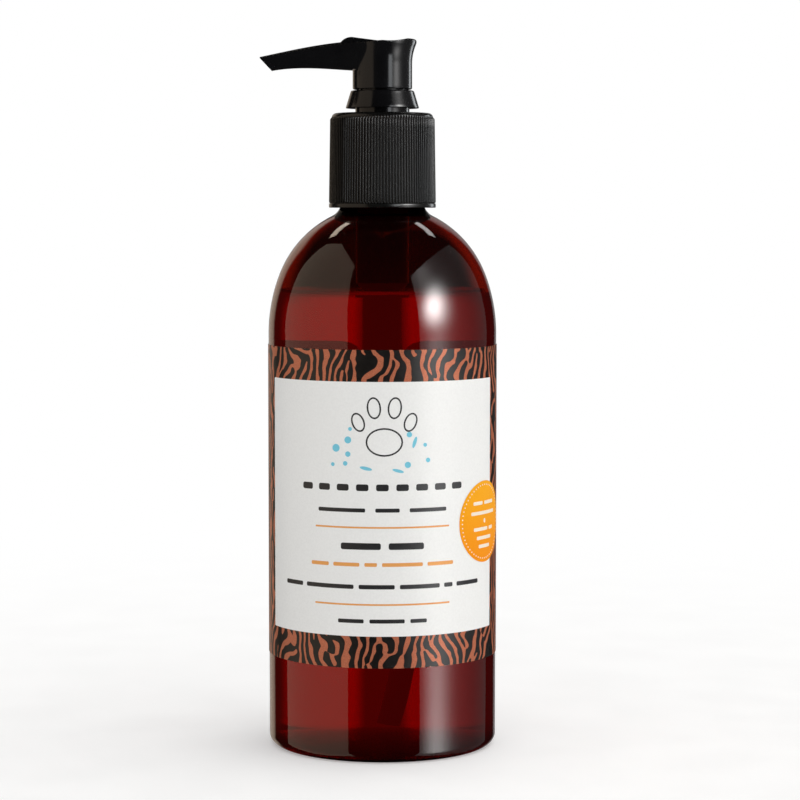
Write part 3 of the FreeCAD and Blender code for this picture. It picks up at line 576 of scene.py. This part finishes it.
def word_row(x, z, height, words, gap):
    """A row of plain bars in place of words, centred on x."""
    total = sum(words) + gap * (len(words) - 1)
    start = x - total / 2
    bars = []
    for width in words:
        bars.append(rounded_box(start + width / 2, z, width / 2, height / 2, height * 0.3))
        start += width + gap
    return bars


def paw(x, z, size):
    """A paw print: one broad pad and four toes."""
    pads = [ellipse(x, z - 0.28 * size, 0.34 * size, 0.26 * size)]
    for side in (-1, 1):
        pads.append(ellipse(x + side * 0.19 * size, z + 0.34 * size, 0.13 * size, 0.2 * size, side * 6))
        pads.append(ellipse(x + side * 0.48 * size, z + 0.08 * size, 0.12 * size, 0.18 * size, side * 22))
    return [quad for pad in pads for quad in drawn(pad, 0.42)]


def drawn(shape, width):
    """An outline's line, as a row of quads between it and itself drawn in by a width."""
    middle = Vector((sum(x for x, z in shape), sum(z for x, z in shape))) / len(shape)
    quads = []
    for start, finish in zip(shape, shape[1:] + shape[:1]):
        inner = [Vector(point) + (middle - Vector(point)).normalized() * width
                 for point in (finish, start)]
        quads.append([start, finish] + [tuple(point) for point in inner])
    return quads


def ink_look(name, shade, roughness=0.4):
    return solid_look(name, shade, roughness, grain=9000.0, depth=1e-6, spread=0.02, handled=0.03)


def make_label():
    """The striped film with its printed panel, a paw print, and bars in place of words."""
    half = math.pi * LABEL_FACE - LABEL_GAP / 2
    middle = (LABEL_LOW + LABEL_HIGH) / 2
    sheet = rounded_box(0, middle, half, (LABEL_HIGH - LABEL_LOW) / 2, LABEL_CORNER, 8)
    film = wrapped("striped_label", [sheet], LABEL_FACE - LABEL_THICKNESS, LABEL_THICKNESS)
    shown(film, "bottle", "label_film", stripes_look(), "wrap_label")
    middle = (PANEL_LOW + PANEL_HIGH) / 2
    white = rounded_box(0, middle, PANEL_HALF, (PANEL_HIGH - PANEL_LOW) / 2, 0.3)
    panel = wrapped("label_white_panel", [white], LABEL_FACE, INK)
    shown(panel, "bottle", "label_film", ink_look("white_print", colour(243, 243, 241), 0.42))
    face = LABEL_FACE + INK
    black = ink_look("black_print", colour(38, 38, 40))
    orange = ink_look("orange_print", colour(232, 160, 84))
    blue = ink_look("blue_print", colour(118, 202, 224))
    rows = {
        "label_title_bars": (black, word_row(0, 71.1, 1.7, (3.2,) * 9, 1.95)),
        "label_subtitle_bars": (black, word_row(0, 65.3, 1.0, (12.8, 6.2, 10.2), 2.6)),
        "label_rule_upper": (orange, [rounded_box(0, 60.9, 18.1, 0.22, 0.2)]),
        "label_product_bar": (black, word_row(0, 56.1, 1.7, (10.4, 9.2), 2.0)),
        "label_kind_bars": (orange, word_row(0, 51.4, 0.95, (5.2, 7.0, 3.2, 10.6, 7.6), 1.3)),
        "label_content_bars": (black, word_row(0, 45.7, 1.1, (6.4, 13.6, 9.2, 10.8, 2.6, 8.2), 1.35)),
        "label_rule_lower": (orange, [rounded_box(0, 41.15, 18.3, 0.22, 0.2)]),
        "label_volume_bars": (black, word_row(0, 36.9, 1.0, (6.8, 9.0, 4.4), 1.5)),
        "label_paw_print": (black, paw(0.5, 86.6, 14.0)),
        "label_bubbles": (blue, bubbles()),
    }
    for name, (look, shapes) in rows.items():
        shown(wrapped(name, shapes, face, INK), "bottle", "label_film", look)


def bubbles():
    """Soap bubbles and two splashes round the paw print: (across, up, radius)."""
    spots = ((-12.1, 81.1, 1.0), (-8.9, 83.2, 0.9), (-8.9, 79.6, 0.7), (-13.0, 76.9, 0.5), (-8.3, 86.0, 0.5),
             (-9.6, 77.2, 0.6), (11.9, 78.0, 0.6), (11.1, 81.9, 0.5), (6.9, 84.6, 0.7), (6.5, 76.9, 0.8))
    shapes = [ellipse(x, z, radius, radius) for x, z, radius in spots]
    shapes += [ellipse(-4.2, 76.0, 1.6, 0.45, 12), ellipse(4.0, 75.4, 1.5, 0.4, 14),
               ellipse(8.3, 82.6, 0.45, 1.5, 18)]
    return shapes


STICKER_TURN, STICKER_RADIUS = math.radians(61.0), 10.6
STICKER_X = STICKER_TURN * LABEL_FACE
STICKER_Z = (low("round_sticker", 2) + high("round_sticker", 2)) / 2


def sticker_look():
    look = Look("orange_sticker")
    height = look.split(look.place())[2]
    share = look.ramp(height, (STICKER_Z - STICKER_RADIUS) * MM, (STICKER_Z + STICKER_RADIUS) * MM)
    fleck = look.noise(3000.0, 4)
    base = look.mix(share, colour(247, 148, 10), colour(250, 172, 22))
    tint = look.mix(look.ramp(fleck, 0.3, 0.7, 0.0, 0.12), base, colour(226, 132, 0))
    shader = look.node("BsdfPrincipled", {
        "Base Color": tint, "Roughness": look.ramp(fleck, 0.3, 0.7, 0.5, 0.6),
        "Specular IOR Level": 0.12, "Normal": look.bump(fleck, 2e-6)})
    return look.done(shader.outputs[0])


def make_sticker():
    """An orange disc with a ring of dots, and bars in place of its words."""
    low_face, thickness = LABEL_FACE + 0.05, 0.08
    edge = ellipse(STICKER_X, STICKER_Z, STICKER_RADIUS, STICKER_RADIUS, steps=72)
    disc = wrapped("round_orange_sticker", [edge], low_face, thickness)
    shown(disc, "bottle", "sticker_film", sticker_look(), "round_sticker")
    dots, dot, ring = 56, 0.2, STICKER_RADIUS - 1.0
    shapes = []
    for place in range(dots):
        turn = 2 * math.pi * place / dots
        shapes.append(ellipse(STICKER_X + ring * math.sin(turn), STICKER_Z + ring * math.cos(turn),
                              dot, dot, steps=10))
    rows = ((4.9, (4.2, 5.4)), (2.3, (12.4,)), (-1.9, (6.8, 2.4)), (-4.2, (7.6,)), (-6.4, (5.8,)))
    for up, words in rows:
        shapes += word_row(STICKER_X, STICKER_Z + up, 0.9, words, 1.0)
    shapes.append(ellipse(STICKER_X, STICKER_Z + 0.2, 0.45, 0.6))
    marks = wrapped("sticker_marks", shapes, low_face + thickness, INK)
    shown(marks, "bottle", "sticker_film", ink_look("sticker_white_print", colour(250, 236, 214)))


# ---- closure and collar

def rib_wave(turn):
    """How far the rounded ribs stand out at an angle: nothing in the middle of a groove."""
    share = 0.5 + 0.5 * math.cos(RIBS * turn)
    return RIB_DEPTH * share * share * (3 - 2 * share)


def closure_look():
    return solid_look("black_ribbed_plastic", (0.004, 0.004, 0.0038, 1), 0.22,
                      grain=2500.0, depth=4e-6, handled=0.1, **{"Specular IOR Level": 0.4})


def make_closure():
    bore, liner_bore, hole, edge = 12.1, 11.2, 7.35, 1.2
    panel_low = CAP_HIGH - 1.6
    step_low = NECK_TOP + 1.8
    root_low, root_high = CAP_FOOT - RIB_DEPTH, CAP_HEAD - RIB_DEPTH
    rib_low, rib_high = CAP_LOW + 1.1, CAP_HIGH - edge

    def ribbed(share, wave):
        return (root_low + (root_high - root_low) * share, rib_low + (rib_high - rib_low) * share, wave)

    outline = [(CAP_FOOT - 0.25, CAP_LOW), (CAP_FOOT - 0.07, CAP_LOW + 0.07), (CAP_FOOT, CAP_LOW + 0.25),
               (CAP_FOOT, rib_low - 0.12), (CAP_FOOT - 0.06, rib_low)]
    outline += [ribbed(0.004, 0.2), ribbed(0.012, 0.85)]
    outline += [ribbed(0.02 + 0.96 * step / 10, 1.0) for step in range(11)]
    outline += [ribbed(0.99, 0.7), ribbed(1.0, 0.25)]
    outline += [(root_high - edge * (1 - math.cos(turn)), rib_high + edge * math.sin(turn))
                for turn in (math.radians(90) * step / 8 for step in range(1, 9))]
    outline += [(hole + 0.25, CAP_HIGH), (hole, CAP_HIGH - 0.25), (hole, panel_low),
                (liner_bore, panel_low), (liner_bore, step_low), (bore, step_low), (bore, CAP_LOW)]
    between = THREAD_START - THREAD_PITCH / 2 - 0.1
    thread = ridge(root=bore + 0.3, crest=11.05, foot=0.75, flat=0.35, start=between, turns=1.25)
    cap = make_object("ribbed_closure", *joined(spun(outline, RIBS * 10, rib_wave), thread), sharp=50)
    shown(cap, "closure", "black_ribbed", closure_look(), "closure")


def gloss_look(name="black_gloss_plastic"):
    return solid_look(name, (0.0035, 0.0035, 0.004, 1), 0.16, grain=500.0, depth=6e-6, handled=0.06,
                      **{"Specular IOR Level": 0.36})


def make_collar():
    """The sleeve that guides the stem and holds the head's lugs, with a flared bell round its top."""
    guide, guide_wall, cup, flange, sleeve = 3.55, 1.15, 6.05, 9.9, 7.1
    guide_low = NECK_TOP + 0.7
    flange_low = NECK_TOP + 2.75
    ring_bore, ring_high = 8.75, CAP_HIGH - 2.7
    plate_high = CAP_HIGH - 1.7
    bell_low, bell_foot, bell_head = 167.9, 9.62, 8.3
    floor_low, floor_high = PLUG_LOW - 1.5, PLUG_LOW - 0.3
    plug_bore, groove = 6.25, 7.0
    groove_low, groove_high = PLUG_LOW + 1.4, COLLAR_TOP - 2.0
    outline = [(guide, guide_low), (guide + guide_wall, guide_low), (guide + guide_wall, floor_low),
               (cup, floor_low), (cup, ring_high), (ring_bore, ring_high), (ring_bore, flange_low),
               (flange, flange_low), (flange, plate_high), (sleeve, plate_high), (sleeve, bell_low)]
    outline += arc((bell_foot - 0.15, bell_low), (bell_foot - 0.02, bell_low + 0.15), 0.15, 4)
    outline += line((bell_foot - 0.02, bell_low + 0.15), (bell_head + 0.1, COLLAR_TOP - 0.5), 6)
    outline += arc((bell_head + 0.1, COLLAR_TOP - 0.5), (bell_head - 0.5, COLLAR_TOP), 0.57, 8)
    outline += [(bell_head - 0.5, COLLAR_TOP), (plug_bore, COLLAR_TOP), (plug_bore, groove_high),
                (groove, groove_high), (groove, groove_low), (plug_bore, groove_low),
                (plug_bore, floor_high), (guide, floor_high)]
    collar = make_object("locking_collar_bell", *spun(outline))
    slot = rounded_box(0, (COLLAR_TOP + groove_low) / 2 + 1, SLOT_HALF,
                       (COLLAR_TOP - groove_low) / 2 + 1, 0.01, 1)
    cut(collar, block("slot_cutter", slot, groove))
    shown(finished_again(collar), "pump_core", "black_gloss", gloss_look("collar_plastic"), "locking_collar")


def finished_again(thing, sharp=35):
    """Cleans a mesh after cuts, under the same name."""
    name, mesh = thing.name, thing.data
    bpy.data.objects.remove(thing)
    return finished(name, mesh, sharp)


# ---- head

SPOUT_STATIONS = (
    # distance from the axis, half width at the top, at the bottom, edge, underside, crown
    (0.0, 8.7, 6.0, -1.1, -8.0, 0.5),
    (11.0, 6.6, 4.2, -1.6, -7.75, 0.8),
    (21.0, 4.8, 3.2, -2.9, -7.4, 0.6),
    (SPOUT_LOFT, 3.4, 2.4, -5.2, -9.1, 0.4),
)


def spout_at(reach):
    """The spout's sizes at a distance from the axis, on a smooth curve through the stations."""
    values = []
    for column in range(1, 6):
        total = 0.0
        for station in SPOUT_STATIONS:
            weight = 1.0
            for other in SPOUT_STATIONS:
                if other is not station:
                    weight *= (reach - other[0]) / (station[0] - other[0])
            total += weight * station[column]
        values.append(total)
    return values


def spout_section(reach, top_steps=14, low_steps=8):
    half_top, half_low, edge, floor, crown = spout_at(reach)
    across = [half_top * (1 - 2 * step / top_steps) for step in range(top_steps + 1)]
    top = [(-reach, y, HEAD_HIGH + edge + crown * (1 - (y / half_top) ** 2)) for y in across]
    under = [(-reach, half_low * (2 * step / low_steps - 1), HEAD_HIGH + floor)
             for step in range(low_steps + 1)]
    return top + under


def head_shaft():
    """The flared shaft, whose top slopes down from the back to under the spout."""
    plug, radius, flare, lip = 6.1, 7.8, 179.5, 9.0
    outline = [(0, HEAD_LOW + 1.0), (plug, HEAD_LOW + 1.0), (plug, HEAD_LOW)]
    outline += arc((radius - 0.15, HEAD_LOW), (radius, HEAD_LOW + 0.25), 0.3, 4)
    outline += line((radius, HEAD_LOW + 0.25), (radius, flare), 10)
    outline += arc((radius, flare), (lip, HEAD_HIGH - 1.0), -12.6, 16)
    outline += arc((lip, HEAD_HIGH - 0.7), (lip - 0.7, HEAD_HIGH), 0.7, 8)
    outline += line((lip - 0.7, HEAD_HIGH), (0, HEAD_HIGH), 6)
    outline += [(0, HEAD_HIGH)]
    shaft = make_object("pump_head", *spun(outline))
    slope_end, front = 6.6, -10.0
    slope = [(slope_end, HEAD_HIGH), (slope_end, HEAD_HIGH + 1), (front, HEAD_HIGH + 1),
             (front, HEAD_HIGH - 1.5)]
    slope += arc((0, HEAD_HIGH - 0.65), (slope_end, HEAD_HIGH), 16, 10)
    cut(shaft, block("slope_cutter", slope, CUTTER_HALF))
    return shaft


def head_thumb():
    """The rest for the thumb, on top between the shaft and the spout."""
    front, peak, back, half_width = -10.9, -7.2, 2.5, 5.0
    outline = [(front, HEAD_HIGH - 3), (back, HEAD_HIGH - 3)]
    outline += line((back, HEAD_HIGH - 1), (peak, HEAD_TOP))
    outline += arc((peak, HEAD_TOP), (front, HEAD_TOP - 1.3), 3.6, 8)
    outline += [(front, HEAD_TOP - 1.3)]
    return block("head_thumb", outline, half_width)


def head_blank():
    """The outside of the head: shaft, spout and thumb rest, melted together."""
    shaft = head_shaft()
    slices = 33
    sections = [spout_section(SPOUT_LOFT * step / slices) for step in range(slices + 1)]
    spout = make_object("head_spout", *skin(sections))
    for extra in (spout, head_thumb()):
        work = bmesh.new()
        work.from_mesh(shaft.data)
        work.from_mesh(extra.data)
        work.to_mesh(shaft.data)
        work.free()
        bpy.data.objects.remove(extra)
    melt = shaft.modifiers.new("melt", "REMESH")
    melt.mode = "VOXEL"
    melt.voxel_size = 0.17 * MM
    relax = shaft.modifiers.new("relax", "SMOOTH")
    relax.factor = 0.6
    relax.iterations = 7
    settled(shaft)
    return shaft


def cut_spout(head):
    """The slanted mouth, the channel through the spout and the socket for the stem."""
    beyond, below, mouth_slant, mouth_low = 4, 12, 6.6, 5.0
    tip = [(-SPOUT_REACH - beyond, HEAD_HIGH - below), (-SPOUT_REACH + mouth_slant, HEAD_HIGH - below),
           (-SPOUT_REACH, HEAD_HIGH - mouth_low), (-SPOUT_REACH, HEAD_HIGH),
           (-SPOUT_REACH - beyond, HEAD_HIGH)]
    cut(head, block("tip_cutter", tip, CUTTER_HALF))
    bore, channel, fall, length, steps = 1.6, 180.9, 2.6, 34.0, 24
    middle_line = [(-length * share, 0, channel - fall * share**2.2)
                   for share in (step / steps for step in range(steps + 1))]
    cut(head, make_object("channel_cutter", *skin(rings_along(middle_line, bore, 32))))
    stem, stem_top, well = high("stem", 0) + 0.02, 179.05, 2.2
    socket = [(0, HEAD_LOW - 2), (stem, HEAD_LOW - 2), (stem, stem_top), (well, stem_top),
              (well, channel + bore), (0, channel + bore)]
    cut(head, make_object("socket_cutter", *spun(socket, 96)))


def lug(side, steps=8):
    """One of the two lugs that lock the head: a block with a round outer face."""
    half, inner, outer = 2.5, 5.4, 6.85
    widest = math.asin(half / outer)
    turns = [widest * (1 - 2 * step / steps) for step in range(steps + 1)]
    flat = [(-half, inner), (half, inner)] + [(outer * math.sin(a), outer * math.cos(a)) for a in turns]
    heights = (PLUG_LOW + 1.7, PLUG_LOW + 3.2)
    return skin([[(x * side, y * side, z) for x, y in flat] for z in heights])


def make_head():
    head = head_blank()
    cut_spout(head)
    shown(finished_again(head, 40), "head", "black_gloss", gloss_look(), "actuator")
    bore, outer, top = 5.1, 6.1, HEAD_LOW + 1.2
    plug = [(bore, PLUG_LOW), (outer, PLUG_LOW), (outer, top), (bore, top)]
    foot = make_object("head_plug", *joined(spun(plug, 128), lug(-1), lug(1)))
    shown(foot, "head", "black_gloss", gloss_look("plug_plastic"))


# ---- pump parts

def make_dip_tube():
    top, bottom = high("dip_tube", 2), low("dip_tube", 2)
    upper, bow, lean = 60.0, 202.0, math.radians(12.0)
    socket = low("housing", 2) - 1
    bend = (upper * (1 - math.cos(lean)), socket - upper * math.sin(lean))
    bow_middle = (bend[0] - bow * math.cos(lean), bend[1] - bow * math.sin(lean))
    low_z = bottom + 0.6
    finish = (bow_middle[0] + math.sqrt(bow**2 - (low_z - bow_middle[1]) ** 2), low_z)
    flat = (line((0, top), (0, socket), 6) + arc((0, socket), bend, upper, 20)
            + arc(bend, finish, -bow, 60) + [finish])
    outer, bore, count = 2.4, 1.7, 48
    centres = [(x, 0, z) for x, z in flat]
    rings = rings_along(centres, outer, count) + rings_along(centres, bore, count)[::-1]
    tube = make_object("dip_tube_smooth", *skin(rings, hollow=True))
    shown(tube, "pump_core", "tube_plastic", tube_look(), "dip_tube")


def tube_look():
    return solid_look("tube_plastic", (0.42, 0.36, 0.30, 1), 0.35, grain=600.0, depth=1e-5)


def natural_look(name, shade):
    return solid_look(name, shade, 0.38, grain=700.0, depth=1.2e-5, spread=0.05)


def make_spring():
    """A wire wound from the barrel's floor to the piston seat."""
    wire, radius = 0.45, 4.5
    bottom, top = low("spring", 2) + wire, high("spring", 2) - wire
    turns, steps, count = 7, 420, 12
    section = [(radius + wire * math.cos(angle), wire * math.sin(angle))
               for angle in (2 * math.pi * corner / count for corner in range(count))]
    rings = []
    for step in range(steps + 1):
        turn = 2 * math.pi * turns * step / steps
        middle = bottom + (top - bottom) * step / steps
        rings.append([(away * math.cos(turn), away * math.sin(turn), middle + up) for away, up in section])
    spring = make_object("spring_wire", *skin(rings))
    look = solid_look("spring_steel", (0.55, 0.55, 0.56, 1), 0.28, grain=2500.0, depth=4e-6, Metallic=1.0)
    shown(spring, None, "spring_steel", look, "spring")
    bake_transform(spring)


def paint_cad_nodes():
    """Looks for the CAD nodes that are shown as they are."""
    looks = {
        "gasket": solid_look("foam_liner", (0.74, 0.74, 0.71, 1), 0.75, grain=3500.0, depth=4e-5),
        "housing": natural_look("housing_plastic", (0.36, 0.35, 0.33, 1)),
        "piston": natural_look("piston_plastic", (0.70, 0.70, 0.67, 1)),
        "piston_seat": natural_look("piston_seat_plastic", (0.66, 0.66, 0.64, 1)),
        "stem": gloss_look("stem_plastic"),
        "valve_ball": solid_look("ball_steel", (0.72, 0.72, 0.74, 1), 0.1, grain=1500.0, depth=1e-6,
                                 Metallic=1.0),
    }
    for node, look in looks.items():
        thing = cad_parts[node]
        thing.data.materials.clear()
        thing.data.materials.append(look)


# ---- studio

def make_floor():
    """A pale floor that holds the object's shadow and fades to white away from it."""
    half = 3.0
    mesh = bpy.data.meshes.new("studio_floor")
    corners = [(-half, -half, 0), (half, -half, 0), (half, half, 0), (-half, half, 0)]
    mesh.from_pydata(corners, [], [(0, 1, 2, 3)])
    floor = in_scene("studio_floor", mesh)
    look = Look("pale_floor")
    grain = look.noise(40.0, 3)
    white = look.mix(look.ramp(grain, 0.3, 0.7), (0.86, 0.86, 0.86, 1), (0.9, 0.9, 0.9, 1))
    diffuse = look.node("BsdfDiffuse", {"Color": white})
    glow = look.node("Emission", {"Color": (1, 1, 1, 1), "Strength": 0.3})
    lit = look.node("AddShader", {0: diffuse.outputs[0], 1: glow.outputs[0]})
    away = look.node("VectorMath", {0: look.place()}, operation="LENGTH").outputs["Value"]
    white_out = look.node("Emission", {"Color": (1, 1, 1, 1), "Strength": 1.0})
    near, far = 0.08, 0.45
    faded = look.node("MixShader", {0: look.ramp(away, near, far), 1: lit.outputs[0],
                                    2: white_out.outputs[0]})
    mesh.materials.append(look.done(faded.outputs[0]))
    floor.visible_glossy = False
    floor.visible_transmission = False


class Sky(Look):
    """The world's nodes. Azimuth, 0 at the camera and 90 on the right, and elevation are in degrees."""

    def __init__(self):
        world = bpy.data.worlds.new("studio")
        bpy.context.scene.world = world
        world.use_nodes = True
        world.cycles.sampling_method = "NONE"
        self.tree = world.node_tree
        self.tree.nodes.clear()
        self.out = self.tree.nodes.new("ShaderNodeOutputWorld")
        direction = self.node("TexCoord").outputs["Generated"]
        self.x, self.y, self.z = self.split(direction)
        to_degrees = 180 / math.pi
        around = self.math("ARCTAN2", self.x, self.times(self.y, -1.0))
        self.azimuth = self.times(around, to_degrees)
        self.elevation = self.times(self.math("ARCSINE", self.z), to_degrees)

    def within(self, value, start, finish, soft):
        rise = self.ramp(value, start - soft, start + soft)
        fall = self.ramp(value, finish - soft, finish + soft, 1.0, 0.0)
        return self.times(rise, fall)

    def window(self, azimuth, elevation, strength, soft):
        """A bright patch between two azimuths and two elevations."""
        return self.times(self.within(self.azimuth, *azimuth, soft),
                          self.within(self.elevation, *elevation, soft), strength)

    def flat_panel(self, azimuth):
        """Where a direction meets an upright plane that faces the object from an azimuth: across and up."""
        turn = math.radians(azimuth)
        ahead = self.math("ADD", self.times(self.x, math.sin(turn)),
                          self.times(self.y, -math.cos(turn)))
        side = self.math("ADD", self.times(self.x, math.cos(turn)),
                         self.times(self.y, math.sin(turn)))
        nearly_sideways = 0.02
        front = self.math("GREATER_THAN", ahead, nearly_sideways)
        ahead = self.math("MAXIMUM", ahead, nearly_sideways)
        return self.math("DIVIDE", side, ahead), self.math("DIVIDE", self.z, ahead), front

    def polygon(self, across, up, corners, soft=0.02):
        """1 inside a convex outline whose corners run anticlockwise, 0 outside."""
        shape = 1.0
        for (x0, z0), (x1, z1) in zip(corners, corners[1:] + corners[:1]):
            size = math.hypot(x1 - x0, z1 - z0)
            inward = ((z0 - z1) / size, (x1 - x0) / size)
            depth = self.math("MULTIPLY_ADD", across, inward[0],
                              self.math("MULTIPLY_ADD", up, inward[1], -x0 * inward[0] - z0 * inward[1]))
            shape = self.times(self.ramp(depth, -soft, soft), shape)
        return shape

    def spot(self, across, up, middle, widths, strength):
        """A soft round hot spot."""
        off_x = self.math("DIVIDE", self.math("SUBTRACT", across, middle[0]), widths[0])
        off_z = self.math("DIVIDE", self.math("SUBTRACT", up, middle[1]), widths[1])
        far = self.math("ADD", self.times(off_x, off_x), self.times(off_z, off_z))
        return self.times(self.math("EXPONENT", self.times(far, -0.5)), strength)


def left_softbox(sky):
    """A broad, even softbox that leans back on the left."""
    across, up, front = sky.flat_panel(azimuth=-75)
    corners = [(-0.8, -1.4), (0.86, -1.4), (0.84, 0.05), (0.66, 1.4), (-0.47, 1.87), (-1.2, 1.2),
               (-0.85, 0.0)]
    strength = 0.52
    return sky.times(sky.polygon(across, up, corners), front, strength)


def right_softbox(sky):
    """A softbox on the right with its lamp near the front edge."""
    across, up, front = sky.flat_panel(azimuth=80)
    shape = sky.polygon(across, up, [(-0.85, -1.4), (1.2, -1.4), (1.2, 1.2), (-0.966, 1.12)])
    lamp = sky.spot(across, up, middle=(-0.46, 0.33), widths=(0.18, 0.14), strength=22.0)
    high_glow = sky.spot(across, up, middle=(-0.55, 0.95), widths=(0.2, 0.4), strength=0.9)
    low_glow = sky.spot(across, up, middle=(-0.44, -0.35), widths=(0.18, 0.2), strength=4.2)
    bright = sky.ramp(across, -0.4, 0.5, 0.42, 0.16)
    for glow in (lamp, high_glow, low_glow):
        bright = sky.math("ADD", glow, bright)
    return sky.times(shape, front, bright)


def seen_in_shine(sky):
    """What the object's skin mirrors: two softboxes, the backdrop's edges and a lit frame behind."""
    backdrop_edges = [sky.window((-171, -143), (-25, 25), strength=0.55, soft=4),
                      sky.window((158, 174), (-25, 30), strength=0.32, soft=4)]
    frame_bar = (48, 53)
    lit_frame = [sky.window((-158, -128), frame_bar, strength=3.4, soft=1.0),
                 sky.window((129, 161), frame_bar, strength=3.4, soft=1.0)]
    total = 0.01
    for light in [left_softbox(sky), right_softbox(sky)] + backdrop_edges + lit_frame:
        total = sky.math("ADD", light, total)
    tint = sky.mix(sky.ramp(sky.x, -0.6, 0.2), (1.15, 0.94, 0.72, 1), (1.0, 0.99, 0.98, 1))
    return sky.node("Background", {"Color": tint, "Strength": total})


def seen_through(sky):
    """What the clear parts bend towards the camera: a bright backdrop with a dark card in its middle."""
    off = sky.math("SUBTRACT", 180.0, sky.math("ABSOLUTE", sky.azimuth))
    card = sky.ramp(off, 4.0, 8.0, 0.014, 1.0)
    right = sky.times(sky.ramp(off, 34.0, 46.0, 0.93, 0.05), sky.math("GREATER_THAN", sky.azimuth, 0.0))
    left = sky.times(sky.ramp(off, 8.0, 46.0, 0.85, 0.05, smooth=False),
                    sky.math("LESS_THAN", sky.azimuth, 0.0))
    height = sky.ramp(sky.elevation, -15.5, -9.0, 0.12, 1.0)
    strength = sky.times(card, height, sky.math("ADD", left, right))
    return sky.node("Background", {"Color": (1.0, 0.96, 0.92, 1), "Strength": strength})


def make_world():
    """White to the camera, even light on dull surfaces, a studio in all that shines or is clear."""
    sky = Sky()
    even = sky.math("MULTIPLY_ADD", sky.x, 0.5, 0.77)
    dull = sky.node("Background", {"Color": (1.0, 0.995, 0.985, 1), "Strength": even})
    white = sky.node("Background", {"Color": (1, 1, 1, 1), "Strength": 1.0})
    path = sky.node("LightPath")
    result = dull
    for ray, light in (("Is Glossy Ray", seen_in_shine(sky)), ("Is Transmission Ray", seen_through(sky)),
                       ("Is Camera Ray", white)):
        result = sky.node("MixShader", {0: path.outputs[ray], 1: result.outputs[0], 2: light.outputs[0]})
    sky.tree.links.new(result.outputs[0], sky.out.inputs["Surface"])


def make_pump_lights():
    """A strip light and an edge light on the right, which light only the pump's black parts."""
    away, above_head = 0.5, 0.03
    pump = bpy.data.collections.new("pump_black_parts")
    for name in ("pump_head", "locking_collar_bell", "ribbed_closure"):
        pump.objects.link(bpy.data.objects[name])
    for name, azimuth, energy in (("pump_strip", 31, 0.5), ("pump_edge", 134, 0.4)):
        data = bpy.data.lights.new(name, "AREA")
        data.shape = "RECTANGLE"
        data.size, data.size_y = 0.12, 0.3
        data.energy = energy
        data.color = (0.93, 0.97, 1.0)
        lamp = in_scene(name, data)
        turn = math.radians(azimuth)
        lamp.location = (away * math.sin(turn), -away * math.cos(turn), HEAD_LOW * MM + above_head)
        lamp.rotation_euler = (math.radians(86), 0, turn)
        lamp.visible_camera = False
        lamp.light_linking.receiver_collection = pump


def make_camera():
    """Level with the shoulder, looking slightly down, with a long lens."""
    data = bpy.data.cameras.new("camera")
    data.lens, data.sensor_width = 118.5, 36.0
    data.shift_x = 0.022
    data.clip_start = 0.01
    camera = in_scene("camera", data)
    distance, height, look_down = 0.6942, 0.1428, math.radians(4.25)
    camera.location = (0, -distance, height)
    camera.rotation_euler = (math.radians(90) - look_down, 0, 0)
    bpy.context.scene.camera = camera


def set_rendering():
    scene = bpy.context.scene
    scene.view_settings.view_transform = "Standard"
    scene.view_settings.look = "None"
    scene.cycles.use_denoising = True
    scene.cycles.max_bounces = 20
    scene.cycles.transmission_bounces = 16
    scene.cycles.glossy_bounces = 6
    scene.cycles.diffuse_bounces = 3
    scene.cycles.transparent_max_bounces = 12
    scene.cycles.sample_clamp_indirect = 2.0
    scene.cycles.use_adaptive_sampling = False


make_bottle()
make_shampoo()
make_label()
make_sticker()
make_closure()
make_collar()
make_head()
make_dip_tube()
make_spring()
paint_cad_nodes()
make_floor()
make_world()
make_pump_lights()
make_camera()
set_rendering()
